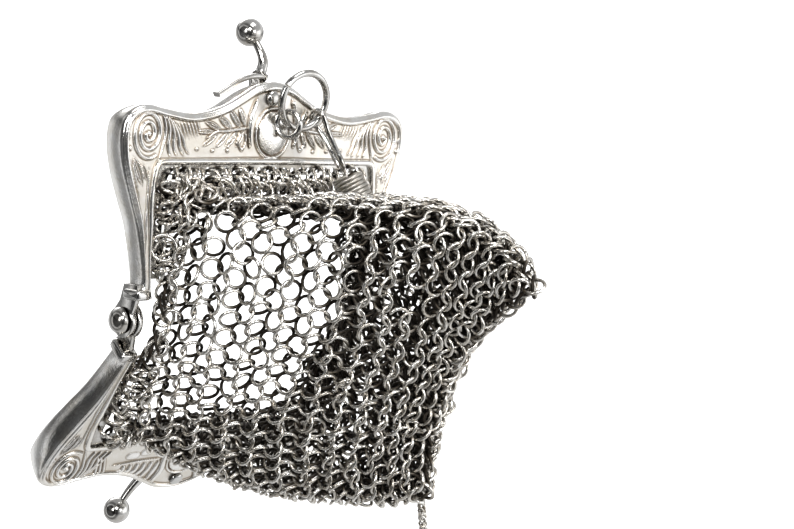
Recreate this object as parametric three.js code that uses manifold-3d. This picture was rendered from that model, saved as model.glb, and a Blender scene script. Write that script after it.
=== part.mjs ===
// A small metal mesh purse, held open sideways. Two stamped frame halves hinge on two rivets and stand
// wide open, one above the other, and a bag of fine ring mesh hangs forward from the holes of their lips.
// Millimetres, +Z up. The origin is the middle of the hinge axis, which runs along X; the bag points
// along -Y, the upper half rises to +Z and the lower half falls to -Z.
import * as THREE from 'three';
import { mergeVertices } from 'three/addons/utils/BufferGeometryUtils.js';
import Module from 'manifold-3d';

// Frame halves
const halfWidth = 25.5;          // middle of the frame to the outer edge of a corner
const halfHeight = 33.6;         // hinge axis to the crest of a half
const openTilt = 19.6;           // degrees that each half leans away from the bag
const depthAtHinge = 3.3;        // parting plane to the decorated face, at the hinge
const depthAtCrest = 5.3;        // the same at the crest
const partingGap = 0.15;         // back edge of the outer wall to the parting plane
const sheet = 0.9;               // thickness of the stamped metal
const ridgeWidth = 0.9;          // bead along the inner edge of the face
const ridgeHeight = 0.35;
const rimWidth = 1.5;            // rounded outer edge of the face
const rimDrop = 1.1;
const wallDraft = 0.6;           // how far the upper wall leans in towards its back edge
const clearance = 0.3;           // gap between pieces that touch on the real purse
const beyond = 1;                // how far a cut runs past what it cuts

// Lip and its holes for the mesh
const lipWidth = 1.9;
const lipThickness = 0.55;
const lipDrop = 0.35;            // lip below the decorated face
const lipHoleRadius = 0.55;
const lipHoleInset = 1.25;       // hole centres to the ridge
const barHolePitch = 1.52;
const legHolePitch = 2.25;
const barHoleCount = 23;
const legHoleCount = 6;

// Relief on the faces
const shieldRadius = 3.3;        // domed round shield in the middle
const shieldRise = 0.9;
const voluteRadius = 3.2;
const voluteTurns = 1.8;
const voluteRise = 0.5;
const voluteBead = 0.8;          // width of the spiral's bead
const leafRise = 0.45;

// Hinge
const eyeRadius = 2.5;
const eyeThickness = 0.8;
const eyeOuterReach = 21.4;      // hinge centre plane to the outside of the outer eye
const pinRadius = 0.6;
const domeRadius = 1.9;
const domeRise = 1.45;
const innerHeadRadius = 1.4;
const innerHeadRise = 0.7;

// Ball clasp
const ballRadius = 2.05;
const strapWidth = 1.5;
const strapThickness = 0.8;
const strapLength = 6.6;
const neckRadius = 0.6;
const rivetRadius = 0.55;
const rivetHeadRadius = 1.1;
const rivetHeadRise = 0.5;
const strapTail = 1.6;           // the strap's short end past the riser
const rivetHoleDepth = 3;
const crestAcross = -0.5;        // middle of the clasp's rivet, beside the crest

// Chain and its rings
const loopRadius = 1.8;          // soldered loop on the upper face, to the middle of the wire
const loopWire = 0.45;
const jumpRadius = 4.06;
const jumpWire = 0.54;
const jumpRoll = 58;             // degrees, place on the jump ring where the soldered loop holds it
const hookRoll = -38;            // degrees, place on the jump ring where the link hangs
const eyeLinkLength = 9.2;
const eyeLinkWidth = 2.7;        // middle to middle of its wires
const eyeLinkFoot = 2.0;         // middle to middle of its wires, where the collar grips it
const eyeLinkWire = 0.42;
const collarRadius = 2.3;
const collarLength = 4.4;
const collarTurns = 4;
const collarBore = 1.75;
const chainRadius = 0.72;
const endRingRadius = 1.5;
const endRingWire = 0.4;

// Mesh bag
const bagReach = 45;             // front of the mouth to the upper tip
const bagWall = 1.3;
const bagWaist = 8.2;            // hollow of the bottom seam between its two tips
const mouthInset = 0.65;         // mesh to the edge of the lip
const tearCut = 5;               // depth of the cut that opens the torn place

const tilt = THREE.MathUtils.degToRad(openTilt);
const faceSlope = (depthAtCrest - depthAtHinge) / halfHeight;
const vector = (x, y, z) => new THREE.Vector3(x, y, z);

// Soldered loop: its middle across, up and above the face, and the axis of its hole. Then the axis of
// the jump ring's hole, in the purse's frame.
const loopCentre = vector(0.05 * halfWidth, 0.824 * halfHeight, loopRadius - 0.05);
const loopAxis = vector(-0.89, 0.0, 0.45).normalize();
const jumpAxis = vector(0, -0.99, 0.14).normalize();

// Stations of a frame half, foot to crest: inner edge (across, up) and outer edge (across, up),
// as shares of halfWidth and halfHeight.
const frameStations = [
  ['foot', 0.761, 0.098, 0.843, 0.098],
  ['ankle', 0.765, 0.155, 0.808, 0.155],
  ['low leg', 0.776, 0.262, 0.824, 0.256],
  ['mid leg', 0.780, 0.378, 0.863, 0.381],
  ['high leg', 0.788, 0.506, 0.922, 0.506],
  ['shoulder', 0.782, 0.583, 0.969, 0.607],
  ['corner side', 0.774, 0.624, 0.996, 0.696],
  ['corner', 0.765, 0.643, 1.000, 0.786],
  ['corner turn', 0.757, 0.651, 0.976, 0.847],
  ['corner top', 0.745, 0.656, 0.914, 0.882],
  ['volute top', 0.722, 0.658, 0.835, 0.890],
  ['volute end', 0.667, 0.659, 0.729, 0.875],
  ['valley', 0.565, 0.659, 0.565, 0.859],
  ['rise', 0.431, 0.660, 0.424, 0.874],
  ['slope', 0.322, 0.660, 0.314, 0.903],
  ['high slope', 0.220, 0.661, 0.216, 0.943],
  ['crest side', 0.118, 0.661, 0.114, 0.984],
  ['crest', 0.000, 0.661, 0.000, 1.000],
];
const legRows = 6;               // stations that belong to the leg, where the lip runs upward

// A leg bends sideways to meet its hinge eye: the eye's place as a share of halfWidth at which the
// stations above need no bend, and the shares of halfHeight between which it bends.
const eyeShare = 0.8392157;
const legBendsBelow = 0.506;
const ankleUp = 0.155;

// Leaves and small ornaments of a face: middle (across, up), length and width as shares of halfHeight,
// and the lean of the long side in degrees from the hinge axis.
const leaves = [
  ['leaf stem', 0.330, 0.765, 0.190, 0.020, 8],
  ['leaf vein 1', 0.245, 0.800, 0.105, 0.024, 60],
  ['leaf vein 2', 0.320, 0.800, 0.095, 0.024, 52],
  ['leaf vein 3', 0.395, 0.795, 0.080, 0.022, 45],
  ['leaf vein 4', 0.465, 0.790, 0.065, 0.020, 38],
  ['fan blade 1', 0.640, 0.755, 0.130, 0.020, 100],
  ['fan blade 2', 0.605, 0.745, 0.115, 0.020, 112],
  ['fan blade 3', 0.575, 0.730, 0.090, 0.020, 124],
  ['square 1', 0.255, 0.705, 0.040, 0.034, 84],
  ['square 2', 0.320, 0.703, 0.038, 0.034, 84],
  ['square 3', 0.385, 0.701, 0.036, 0.034, 84],
  ['square 4', 0.450, 0.700, 0.032, 0.032, 84],
  ['leg leaf 1', 0.880, 0.630, 0.110, 0.024, 105],
  ['leg leaf 2', 0.850, 0.545, 0.095, 0.018, 98],
  ['leg leaf 3', 0.822, 0.455, 0.085, 0.012, 95],
];

// Sections of the bag, mouth to bottom seam: share of the depth; near side and far side across, as
// shares of the mouth's half width; top and bottom as shares of the mouth's half height; forward place
// of the top and of the bottom edge as shares of bagReach; and how square the section is.
const bagSections = [
  [0.00, -1.000, 1.000, 1.000, -1.000, -0.055, -0.055, 7.0],
  [0.08, -0.984, 1.021, 0.991, -1.008, 0.030, 0.030, 6.0],
  [0.20, -0.828, 1.035, 1.068, -1.043, 0.165, 0.140, 4.5],
  [0.35, -0.532, 1.043, 1.213, -1.034, 0.340, 0.290, 3.6],
  [0.50, -0.222, 1.021, 1.325, -0.974, 0.505, 0.440, 3.2],
  [0.65, 0.059, 0.924, 1.367, -0.872, 0.665, 0.570, 2.9],
  [0.80, 0.288, 0.806, 1.342, -0.735, 0.800, 0.690, 2.6],
  [0.92, 0.429, 0.688, 1.261, -0.598, 0.895, 0.770, 2.4],
  [1.00, 0.496, 0.599, 1.217, -0.504, 0.965, 0.820, 2.2],
];

// Folds of the bag: place around (in turns from the far side, over the top), place along the depth,
// width around, width along, and height out (or in, below nought) as a share of halfHeight.
const folds = [
  ['sag behind the top edge', 0.25, 0.09, 0.085, 0.06, -0.055],
  ['hollow under the collar', 0.193, 0.165, 0.045, 0.070, -0.070],
  ['crumple by the near corner', 0.36, 0.10, 0.030, 0.05, 0.030],
  ['top finger ridge', 0.27, 0.55, 0.060, 0.30, 0.020],
  ['pull between the tips', 0.50, 0.98, 0.100, 0.20, -0.030],
  ['near side hollow', 0.55, 0.20, 0.050, 0.15, -0.030],
  ['lower bulge', 0.70, 0.35, 0.080, 0.20, 0.035],
  ['far side fold', 0.00, 0.45, 0.030, 0.35, -0.040],
  ['far side fold below', 0.92, 0.55, 0.030, 0.30, 0.030],
  ['underside fold', 0.77, 0.60, 0.030, 0.25, -0.035],
];

// Torn place in the near side of the bag: place around and along, and its half width and half height.
const tear = { around: 0.475, along: 0.71, halfWidth: 1.7, halfHeight: 1.3 };

// Chosen points of the chain, collar to free end, in millimetres.
const chainRoute = [
  [10.2, -4.9, 20.9],
  [13.6, -6.6, 21.4],
  [17.4, -8.6, 20.0],
  [20.0, -11.0, 15.5],
  [20.7, -14.0, 8.0],
  [20.2, -18.0, 0.0],
  [18.6, -23.0, -8.0],
  [16.9, -27.5, -14.5],
  [16.0, -31.0, -19.0],
  [15.6, -33.6, -22.6],
];

// Points of each clasp neck, strap to ball, in the half's own plane: across, beyond the crest, and
// out of the parting plane, as shares of halfHeight.
const neckPoints = {
  upper: [[0.016, 0.030, 0.024], [0.034, 0.080, 0.018], [0.026, 0.130, 0.002], [0.010, 0.205, -0.052]],
  lower: [[0.030, 0.030, 0.024], [0.060, 0.080, 0.030], [0.100, 0.140, 0.050], [0.140, 0.215, 0.082]],
};

// Solids: closed geometry in and out of the boolean library
const wasm = await Module();
wasm.setup();

function signedVolume(geometry) {
  const place = geometry.attributes.position;
  const index = geometry.index;
  const corner = [vector(), vector(), vector()];
  let volume = 0;
  for (let i = 0; i < index.count; i += 3) {
    corner.forEach((point, k) => point.fromBufferAttribute(place, index.getX(i + k)));
    volume += corner[0].dot(corner[1].clone().cross(corner[2])) / 6;
  }
  return volume;
}

function welded(geometry) {
  const bare = geometry.clone();
  bare.deleteAttribute('normal');
  bare.deleteAttribute('uv');
  return mergeVertices(bare, 1e-4);
}

function closedGeometry(points, faces) {
  const geometry = new THREE.BufferGeometry().setFromPoints(points);
  geometry.setIndex(faces.flat());
  if (signedVolume(geometry) < 0) geometry.setIndex(faces.map(([a, b, c]) => [a, c, b]).flat());
  return geometry;
}

function toSolid(geometry) {
  const mesh = welded(geometry);
  return new wasm.Manifold(new wasm.Mesh({
    numProp: 3,
    vertProperties: new Float32Array(mesh.attributes.position.array),
    triVerts: new Uint32Array(mesh.index.array),
  }));
}

function toGeometry(solid) {
  const mesh = solid.getMesh();
  const geometry = new THREE.BufferGeometry();
  geometry.setAttribute('position', new THREE.BufferAttribute(new Float32Array(mesh.vertProperties), 3));
  geometry.setIndex(new THREE.BufferAttribute(new Uint32Array(mesh.triVerts), 1));
  return geometry;
}

const join = (solids) => solids.reduce((whole, piece) => whole.add(piece));

// A skin over a row of rings with the same number of points, closed at both ends by flat caps.
function loft(rings) {
  const count = rings[0].length;
  const faces = [];
  for (let i = 0; i + 1 < rings.length; i += 1) {
    for (let k = 0; k < count; k += 1) {
      const a = i * count + k;
      const b = i * count + (k + 1) % count;
      faces.push([a, b, b + count], [a, b + count, a + count]);
    }
  }
  [0, rings.length - 1].forEach((end) => {
    capFaces(rings[end]).forEach(([a, b, c]) => {
      const face = [a, b, c].map((k) => end * count + k);
      faces.push(end === 0 ? face.reverse() : face);
    });
  });
  return closedGeometry(rings.flat(), faces);
}

// Triangles that fill one ring, turned the way the ring runs.
function capFaces(ring) {
  const normal = vector();
  ring.forEach((point, k) => normal.add(point.clone().cross(ring[(k + 1) % ring.length])));
  normal.normalize();
  const turn = new THREE.Quaternion().setFromUnitVectors(normal, vector(0, 0, 1));
  const flat = ring.map((point) => point.clone().applyQuaternion(turn));
  return THREE.ShapeUtils.triangulateShape(flat.map((point) => new THREE.Vector2(point.x, point.y)), []);
}

function box(low, high) {
  const size = high.clone().sub(low);
  return new THREE.BoxGeometry(size.x, size.y, size.z).translate(
    (low.x + high.x) / 2, (low.y + high.y) / 2, (low.z + high.z) / 2);
}

function polygonShape(points) {
  return new THREE.Shape(points.map(([x, y]) => new THREE.Vector2(x, y)));
}

function circlePoints(radius, sides, x = 0, y = 0) {
  return Array.from({ length: sides }, (_, k) => {
    const angle = (2 * Math.PI * (k + 0.5)) / sides;
    return [x + radius * Math.cos(angle), y + radius * Math.sin(angle)];
  });
}

function rod(points, radius, sides, steps) {
  const path = new THREE.CatmullRomCurve3(points);
  return new THREE.ExtrudeGeometry(polygonShape(circlePoints(radius, sides)), { extrudePath: path, steps });
}

// Frame halves: across = x, up = y, out of the parting plane = z
const faceLevel = (up) => depthAtHinge + faceSlope * up;

function edge(row) {
  const [, innerAcross, innerUp, outerAcross, outerUp] = row;
  const bend = THREE.MathUtils.clamp((legBendsBelow - innerUp) / (legBendsBelow - ankleUp), 0, 1);
  const toEye = bend * (eyeOuterReach - eyeShare * halfWidth);
  return {
    inner: new THREE.Vector2(innerAcross * halfWidth + toEye, innerUp * halfHeight),
    outer: new THREE.Vector2(outerAcross * halfWidth + toEye, outerUp * halfHeight),
  };
}

const mirrored = (point) => new THREE.Vector2(-point.x, point.y);

function allEdges() {
  const right = frameStations.map(edge);
  const left = right.slice(0, -1).map(({ inner, outer }) => ({ inner: mirrored(inner), outer: mirrored(outer) }));
  return [...left, ...right.reverse()];
}

// Channel section: inner ridge, face, rounded rim, outer wall and the hollow back.
function channelSection({ inner, outer }) {
  const width = inner.distanceTo(outer);
  const outward = outer.clone().sub(inner).normalize();
  const fit = Math.min(1, width / (ridgeWidth + rimWidth + sheet));
  const profile = [
    [-ridgeWidth / 2 * fit, -sheet],
    [-ridgeWidth / 2 * fit, -lipDrop],
    [-ridgeWidth / 6 * fit, ridgeHeight * fit],
    [ridgeWidth / 2 * fit, 0],
    [width - rimWidth * fit, 0],
    [width - rimWidth * 0.7 * fit, ridgeHeight * 0.5 * fit],
    [width - rimWidth * 0.2 * fit, -rimDrop * 0.2],
    [width, -rimDrop],
  ];
  const backEdge = width - wallDraft * Math.max(0, outward.y);
  const back = [[backEdge, null], [backEdge - sheet * fit, null], [width - sheet * fit, -sheet]];
  return [...profile, ...back].map(([along, rise]) => {
    const place = inner.clone().addScaledVector(outward, along);
    return vector(place.x, place.y, rise === null ? partingGap : faceLevel(place.y) + rise);
  });
}

// Flat lip inside the ridge, with its row of holes, following the slope of the face.
function lipPlate() {
  const rows = frameStations.map((row) => edge(row).inner);
  const under = ridgeWidth / 3;
  const legs = rows.slice(1, legRows);
  const bars = rows.slice(legRows + 3);
  const outerSide = [
    ...legs.map((point) => [point.x + under, point.y]),
    ...bars.map((point) => [point.x, point.y + under]),
  ];
  const corner = [legs[legs.length - 1].x - lipWidth, bars[0].y - lipWidth];
  const innerSide = [...legs.map((point) => [point.x - lipWidth, point.y]), corner, [0, bars.at(-1).y - lipWidth]];
  const flip = (points) => points.map(([x, y]) => [-x, y]);
  const outline = [...outerSide, ...flip(outerSide.slice(0, -1)).reverse(), ...flip(innerSide.slice(0, -1)),
    ...innerSide.slice().reverse()];
  const plate = new THREE.ExtrudeGeometry(polygonShape(outline), { depth: lipThickness, bevelEnabled: false });
  const drills = lipHoles().map(([x, y]) => {
    const drill = new THREE.CylinderGeometry(lipHoleRadius, lipHoleRadius, lipThickness * 3, 4);
    return toSolid(onFace(drill.rotateX(Math.PI / 2).translate(x, y, 0), -lipDrop - lipThickness / 2));
  });
  return toSolid(onFace(plate, -lipDrop - lipThickness)).subtract(join(drills));
}

function lipHoles() {
  const rows = frameStations.map((row) => edge(row).inner);
  const barUp = rows.at(-1).y - lipHoleInset;
  const bar = Array.from({ length: barHoleCount }, (_, k) => [(k - (barHoleCount - 1) / 2) * barHolePitch, barUp]);
  const legTop = barUp - legHolePitch * 1.15;
  const legAcross = rows[4].x - lipHoleInset - ridgeWidth / 3;
  const leg = Array.from({ length: legHoleCount }, (_, k) => [legAcross, legTop - k * legHolePitch]);
  return [...bar, ...leg, ...leg.map(([x, y]) => [-x, y])];
}

// Lays flat geometry on the sloping face, with its own z as height above it.
function onFace(geometry, rise = 0) {
  const place = geometry.attributes.position;
  for (let i = 0; i < place.count; i += 1) {
    place.setZ(i, place.getZ(i) + rise + faceLevel(place.getY(i)));
  }
  return geometry;
}

// A leaf or blade: a pointed ridge with a crest, sunk into the face.
function blade([, across, up, lengthShare, widthShare, lean], side) {
  const length = lengthShare * halfHeight;
  const width = widthShare * halfHeight;
  const geometry = new THREE.OctahedronGeometry(1).scale(length / 2, width / 2, leafRise);
  geometry.rotateZ(THREE.MathUtils.degToRad(lean));
  geometry.translate(across * halfWidth, up * halfHeight, -leafRise * 0.05);
  if (side < 0) geometry.rotateY(Math.PI);
  return onFace(geometry);
}

// Middle of a volute, between the rim and the ridge of its corner.
function voluteCentre() {
  const station = edge(frameStations.find(([name]) => name === 'volute top'));
  return station.outer.lerp(station.inner, 0.5).add(new THREE.Vector2(0.07 * halfWidth, -0.01 * halfHeight));
}

// Spiral ridge of a volute, a three-sided bead winding inward.
function volute(side) {
  const steps = 20;
  const centre = voluteCentre();
  const startAngle = Math.PI * 0.1;
  const inward = 0.78;
  const section = [[-voluteBead / 2, -voluteRise / 2], [0, voluteRise], [voluteBead / 2, -voluteRise / 2]];
  const rings = Array.from({ length: steps + 1 }, (_, k) => {
    const share = k / steps;
    const angle = startAngle + 2 * Math.PI * voluteTurns * share;
    const radius = voluteRadius * (1 - inward * share);
    return section.map(([offset, rise]) => {
      const across = centre.x + (radius + offset) * Math.cos(angle);
      const up = centre.y + (radius + offset) * Math.sin(angle);
      return vector(side * across, up, rise);
    });
  });
  return onFace(loft(rings));
}

function shield() {
  const dome = [[0, -0.3], [1, -0.3], [0.86, 0.45], [0.5, 0.85], [0, 1]];
  const profile = dome.map(([r, z]) => new THREE.Vector2(r * shieldRadius, z * shieldRise));
  const geometry = new THREE.LatheGeometry(profile, 12).rotateX(Math.PI / 2);
  const middleUp = edge(frameStations.at(-1)).inner.y + shieldRadius * 1.28;
  return onFace(geometry.translate(0, middleUp, 0));
}

// Flat hinge eye on the end of a leg: a drilled disc and the strap up to the foot.
function hingeEye(side, outerFace) {
  const footUp = frameStations[0][2] * halfHeight;
  const footBack = partingGap;
  const footFront = faceLevel(footUp) - sheet / 3;
  const disc = new THREE.CylinderGeometry(eyeRadius, eyeRadius, eyeThickness, 12).rotateZ(Math.PI / 2);
  const strap = new THREE.ExtrudeGeometry(polygonShape([
    [-eyeRadius * 0.88, eyeRadius * 0.42],
    [eyeRadius * 0.97, eyeRadius * 0.2],
    [footFront, footUp + 0.5],
    [footBack, footUp + 0.5],
  ]), { depth: eyeThickness, bevelEnabled: false });
  strap.rotateY(-Math.PI / 2).translate(eyeThickness / 2, 0, 0);
  const middle = side * (outerFace - eyeThickness / 2);
  return toSolid(disc).add(toSolid(strap)).translate([middle, 0, 0]);
}

function hingeBores() {
  const bore = new THREE.CylinderGeometry(pinRadius + clearance, pinRadius + clearance, halfWidth * 2.2, 8);
  return toSolid(bore.rotateZ(Math.PI / 2));
}

function rivetUp() {
  return halfHeight - rimWidth - rivetRadius - clearance;
}

// Room in a half for the clasp: a notch in the back of the wall and a hole for its rivet.
function claspRoom() {
  const half = strapWidth / 2 + clearance;
  const notch = box(
    vector(crestAcross - half, halfHeight - wallDraft - sheet * 2, -beyond),
    vector(crestAcross + half, halfHeight + beyond, partingGap + clearance * 2 + strapThickness));
  const hole = new THREE.CylinderGeometry(rivetRadius + clearance, rivetRadius + clearance, rivetHoleDepth, 8);
  hole.rotateX(Math.PI / 2).translate(crestAcross, rivetUp(), faceLevel(rivetUp()));
  return toSolid(notch).add(toSolid(hole));
}

// Loop soldered to the upper face, beside the shield.
function solderedLoop() {
  const ring = new THREE.TorusGeometry(loopRadius, loopWire, 6, 14);
  ring.applyQuaternion(new THREE.Quaternion().setFromUnitVectors(vector(0, 0, 1), loopAxis));
  return ring.translate(loopCentre.x, loopCentre.y, loopCentre.z + faceLevel(loopCentre.y));
}

function frameHalf(withLoop) {
  const band = toSolid(loft(allEdges().map(channelSection)));
  const relief = leaves.flatMap((row) => [blade(row, 1), blade(row, -1)]);
  const raised = [shield(), volute(1), volute(-1), ...relief].map(toSolid);
  const innerEyeFace = eyeOuterReach - eyeThickness - clearance;
  let half = join([band, lipPlate(), hingeEye(-1, eyeOuterReach), hingeEye(1, innerEyeFace), ...raised]);
  half = half.subtract(hingeBores()).subtract(claspRoom());
  if (withLoop) half = half.add(toSolid(solderedLoop()));
  return toGeometry(half);
}

// Clasp: a riveted foot behind the face, a riser through the notch, a strap along the rim, a bent
// neck and a ball.
function clasp(neck) {
  const left = crestAcross - strapWidth / 2;
  const right = crestAcross + strapWidth / 2;
  const faceBack = faceLevel(rivetUp() - rivetHeadRadius) - sheet - clearance;
  const wallInside = halfHeight - wallDraft - sheet - clearance * 1.3;
  const back = partingGap + clearance * 0.8;
  const crown = halfHeight + clearance + strapThickness;
  const foot = box(vector(left, rivetUp() - rivetHeadRadius, faceBack - strapThickness),
    vector(right, wallInside, faceBack));
  const web = box(vector(left, wallInside - strapThickness, back), vector(right, wallInside, faceBack));
  const riser = box(vector(left, wallInside - strapThickness, back), vector(right, crown, back + strapThickness));
  const shankTop = faceLevel(rivetUp()) + clearance;
  const shankLength = shankTop - faceBack + strapThickness * 0.75;
  const shank = new THREE.CylinderGeometry(rivetRadius, rivetRadius, shankLength, 8).rotateX(Math.PI / 2);
  shank.translate(crestAcross, rivetUp(), (shankTop + faceBack) / 2);
  const head = [[0, 0], [1, 0], [0.75, 0.75], [0, 1]];
  const headProfile = head.map(([r, z]) => new THREE.Vector2(r * rivetHeadRadius, z * rivetHeadRise));
  const rivetHead = new THREE.LatheGeometry(headProfile, 8).rotateX(Math.PI / 2);
  rivetHead.translate(crestAcross, rivetUp(), shankTop);
  const points = neck.map(([x, y, z]) => vector(x * halfHeight, (1 + y) * halfHeight, z * halfHeight));
  const stem = rod(points, neckRadius, 6, 7);
  const ball = new THREE.SphereGeometry(ballRadius, 12, 8).translate(...points.at(-1).toArray());
  return toGeometry(join([foot, web, riser, shank, rivetHead, rimStrap(right), stem, ball].map(toSolid)));
}

// Strap lying along the outside of the rim, from the crest down to one side.
function rimStrap(right) {
  const outerEdges = frameStations.slice(-5).map((row) => edge(row).outer);
  const contour = new THREE.SplineCurve([...outerEdges.map(mirrored), outerEdges[3].clone()]);
  const points = contour.getPoints(30).filter((point) => point.x > right - strapLength && point.x < right + strapTail);
  const chosen = points.filter((_, k) => k % 2 === 0 || k === points.length - 1);
  const shifted = (distance) => chosen.map((point, k) => {
    const before = chosen[Math.max(0, k - 1)];
    const after = chosen[Math.min(chosen.length - 1, k + 1)];
    const along = after.clone().sub(before).normalize();
    return [point.x - along.y * distance, point.y + along.x * distance];
  });
  const gap = clearance * 1.2;
  const outline = [...shifted(gap), ...shifted(gap + strapThickness).reverse()];
  const strap = new THREE.ExtrudeGeometry(polygonShape(outline), { depth: strapWidth, bevelEnabled: false });
  return strap.translate(0, 0, partingGap + clearance * 0.8);
}

// Hinge rivet along X: a domed head outside, a shank through both eyes and a low head inside.
function hingeRivet() {
  const eyesInside = eyeOuterReach - 2 * eyeThickness - clearance;
  const innerSeat = eyesInside - clearance;
  const outerSeat = eyeOuterReach + clearance;
  const profile = [
    [0, innerSeat - innerHeadRise],
    [innerHeadRadius * 0.75, innerSeat - innerHeadRise],
    [innerHeadRadius, innerSeat - innerHeadRise * 0.4],
    [innerHeadRadius, innerSeat],
    [pinRadius, innerSeat],
    [pinRadius, outerSeat],
    [domeRadius, outerSeat],
    [domeRadius * 0.92, outerSeat + domeRise * 0.45],
    [domeRadius * 0.55, outerSeat + domeRise * 0.88],
    [0, outerSeat + domeRise],
  ].map(([r, along]) => new THREE.Vector2(r, along));
  return welded(new THREE.LatheGeometry(profile, 12).rotateZ(-Math.PI / 2));
}

// Places a point of the upper half's own plane in the purse's frame.
function fromUpperHalf(across, up, out) {
  return vector(across, up * Math.sin(tilt) - out * Math.cos(tilt), up * Math.cos(tilt) + out * Math.sin(tilt));
}

// Place on the jump ring's wire, from its middle, at an angle from the hinge axis.
function jumpSpoke(degrees) {
  const angle = THREE.MathUtils.degToRad(degrees);
  const upward = vector(0, jumpAxis.z, -jumpAxis.y);
  return upward.multiplyScalar(jumpRadius * Math.sin(angle)).add(vector(jumpRadius * Math.cos(angle), 0, 0));
}

// Jump ring through the soldered loop
function jumpCentre() {
  const seat = fromUpperHalf(loopCentre.x, loopCentre.y, loopCentre.z + faceLevel(loopCentre.y));
  return seat.add(jumpSpoke(jumpRoll));
}

function jumpRing() {
  const ring = new THREE.TorusGeometry(jumpRadius, jumpWire, 6, 20);
  ring.applyQuaternion(new THREE.Quaternion().setFromUnitVectors(vector(0, 0, 1), jumpAxis));
  return welded(ring);
}

// Long eye link from the jump ring to the collar, and the collar's own line
function collarLine() {
  const start = vector(...chainRoute[0]);
  const hook = jumpCentre().add(jumpSpoke(hookRoll));
  const along = start.clone().sub(hook).normalize();
  const end = start.clone().addScaledVector(along, chainRadius * 2);
  return { hook, start, along, end };
}

function eyeLink() {
  const { hook, along } = collarLine();
  const facing = jumpAxis.clone().addScaledVector(vector(0, jumpAxis.z, -jumpAxis.y), 0.35);
  const side = along.clone().cross(facing).cross(along).normalize();
  const bend = jumpWire + eyeLinkWire + clearance;
  const top = hook.clone().addScaledVector(along, -bend);
  const rightSide = [
    [0, 0],
    [bend * (1 - Math.SQRT1_2), bend * Math.SQRT1_2],
    [bend, bend * 1.04],
    [eyeLinkLength * 0.62, eyeLinkWidth / 2],
    [eyeLinkLength * 0.9, eyeLinkFoot / 2],
    [eyeLinkLength, 0],
  ];
  const leftSide = rightSide.slice(1, -1).reverse().map(([down, out]) => [down, -out]);
  const points = [...rightSide, ...leftSide].map(([down, out]) => top.clone()
    .addScaledVector(along, down).addScaledVector(side, out));
  const path = new THREE.CatmullRomCurve3(points, true, 'centripetal');
  const rings = [];
  const steps = 24;
  const normal = along.clone().cross(side).normalize();
  for (let k = 0; k < steps; k += 1) {
    const centre = path.getPoint(k / steps);
    const tangent = path.getTangent(k / steps);
    const across = tangent.clone().cross(normal).normalize();
    rings.push(circlePoints(eyeLinkWire, 6).map(([x, y]) => centre.clone()
      .addScaledVector(across, x).addScaledVector(normal, y)));
  }
  return closedTube(rings);
}

// A tube whose last ring meets its first.
function closedTube(rings) {
  const count = rings[0].length;
  const faces = [];
  rings.forEach((_, i) => {
    const next = ((i + 1) % rings.length) * count;
    for (let k = 0; k < count; k += 1) {
      const k2 = (k + 1) % count;
      faces.push([i * count + k, i * count + k2, next + k2], [i * count + k, next + k2, next + k]);
    }
  });
  return closedGeometry(rings.flat(), faces);
}

// Wound collar that grips the link and the chain: a ribbed tube.
function collar() {
  const { along, end } = collarLine();
  const ribDepth = 0.3;
  const pitch = collarLength / collarTurns;
  const outside = Array.from({ length: collarTurns }, (_, k) => [
    [collarRadius - ribDepth, k * pitch],
    [collarRadius, (k + 0.5) * pitch],
  ]).flat();
  const profile = [[collarBore, 0], ...outside, [collarRadius - ribDepth, collarLength], [collarBore, collarLength],
    [collarBore, 0]].map(([r, y]) => new THREE.Vector2(r, y - collarLength));
  const tube = new THREE.LatheGeometry(profile, 10);
  tube.applyQuaternion(new THREE.Quaternion().setFromUnitVectors(vector(0, 1, 0), along));
  return welded(tube.translate(end.x, end.y, end.z));
}

// Chain as a round strand that ends in a plain ring
function chain() {
  const { start, along: outward, end } = collarLine();
  const exit = end.clone().addScaledVector(outward, chainRadius + clearance);
  const points = [start, exit, ...chainRoute.slice(1).map(([x, y, z]) => vector(x, y, z))];
  const strand = rod(points, chainRadius, 8, 28);
  const last = points.at(-1);
  const along = last.clone().sub(points.at(-2)).normalize();
  const ring = new THREE.TorusGeometry(endRingRadius, endRingWire, 5, 12).rotateY(Math.PI / 2);
  const seat = last.clone().addScaledVector(along, endRingRadius);
  return toGeometry(toSolid(strand).add(toSolid(ring.translate(seat.x, seat.y, seat.z))));
}

// Mesh bag: sections blended along the depth
function sectionAt(depth) {
  const last = bagSections.length - 1;
  const next = Math.min(last, Math.max(1, bagSections.findIndex(([share]) => share >= depth)));
  const rowAt = (k) => bagSections[Math.min(last, Math.max(0, k))];
  const from = rowAt(next - 1)[0];
  const to = rowAt(next)[0];
  const share = (depth - from) / (to - from);
  return rowAt(next).map((_, column) => {
    const [p0, p1, p2, p3] = [-2, -1, 0, 1].map((k) => rowAt(next + k)[column]);
    const curve = 2 * p1 + (p2 - p0) * share + (2 * p0 - 5 * p1 + 4 * p2 - p3) * share ** 2
      + (3 * p1 - p0 - 3 * p2 + p3) * share ** 3;
    return curve / 2;
  });
}

// Front edge of the mouth at a height: the mesh follows the lips and droops between them at the hinge.
function mouthFront(height) {
  const rise = Math.abs(height) / Math.cos(tilt);
  const lip = rise * Math.sin(tilt) - (faceLevel(rise) - lipDrop - lipThickness / 2) * Math.cos(tilt);
  const droop = 0.1 * halfHeight * Math.exp(-((height / (0.17 * halfHeight)) ** 2));
  return lip - droop;
}

function foldHeight(around, depth) {
  return folds.reduce((sum, [, foldAround, foldDepth, widthAround, widthDepth, height]) => {
    const apart = Math.abs(around - foldAround);
    const turnApart = Math.min(apart, 1 - apart) / widthAround;
    const depthApart = (depth - foldDepth) / widthDepth;
    return sum + height * halfHeight * Math.exp(-(turnApart ** 2) - depthApart ** 2);
  }, 0);
}

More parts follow.
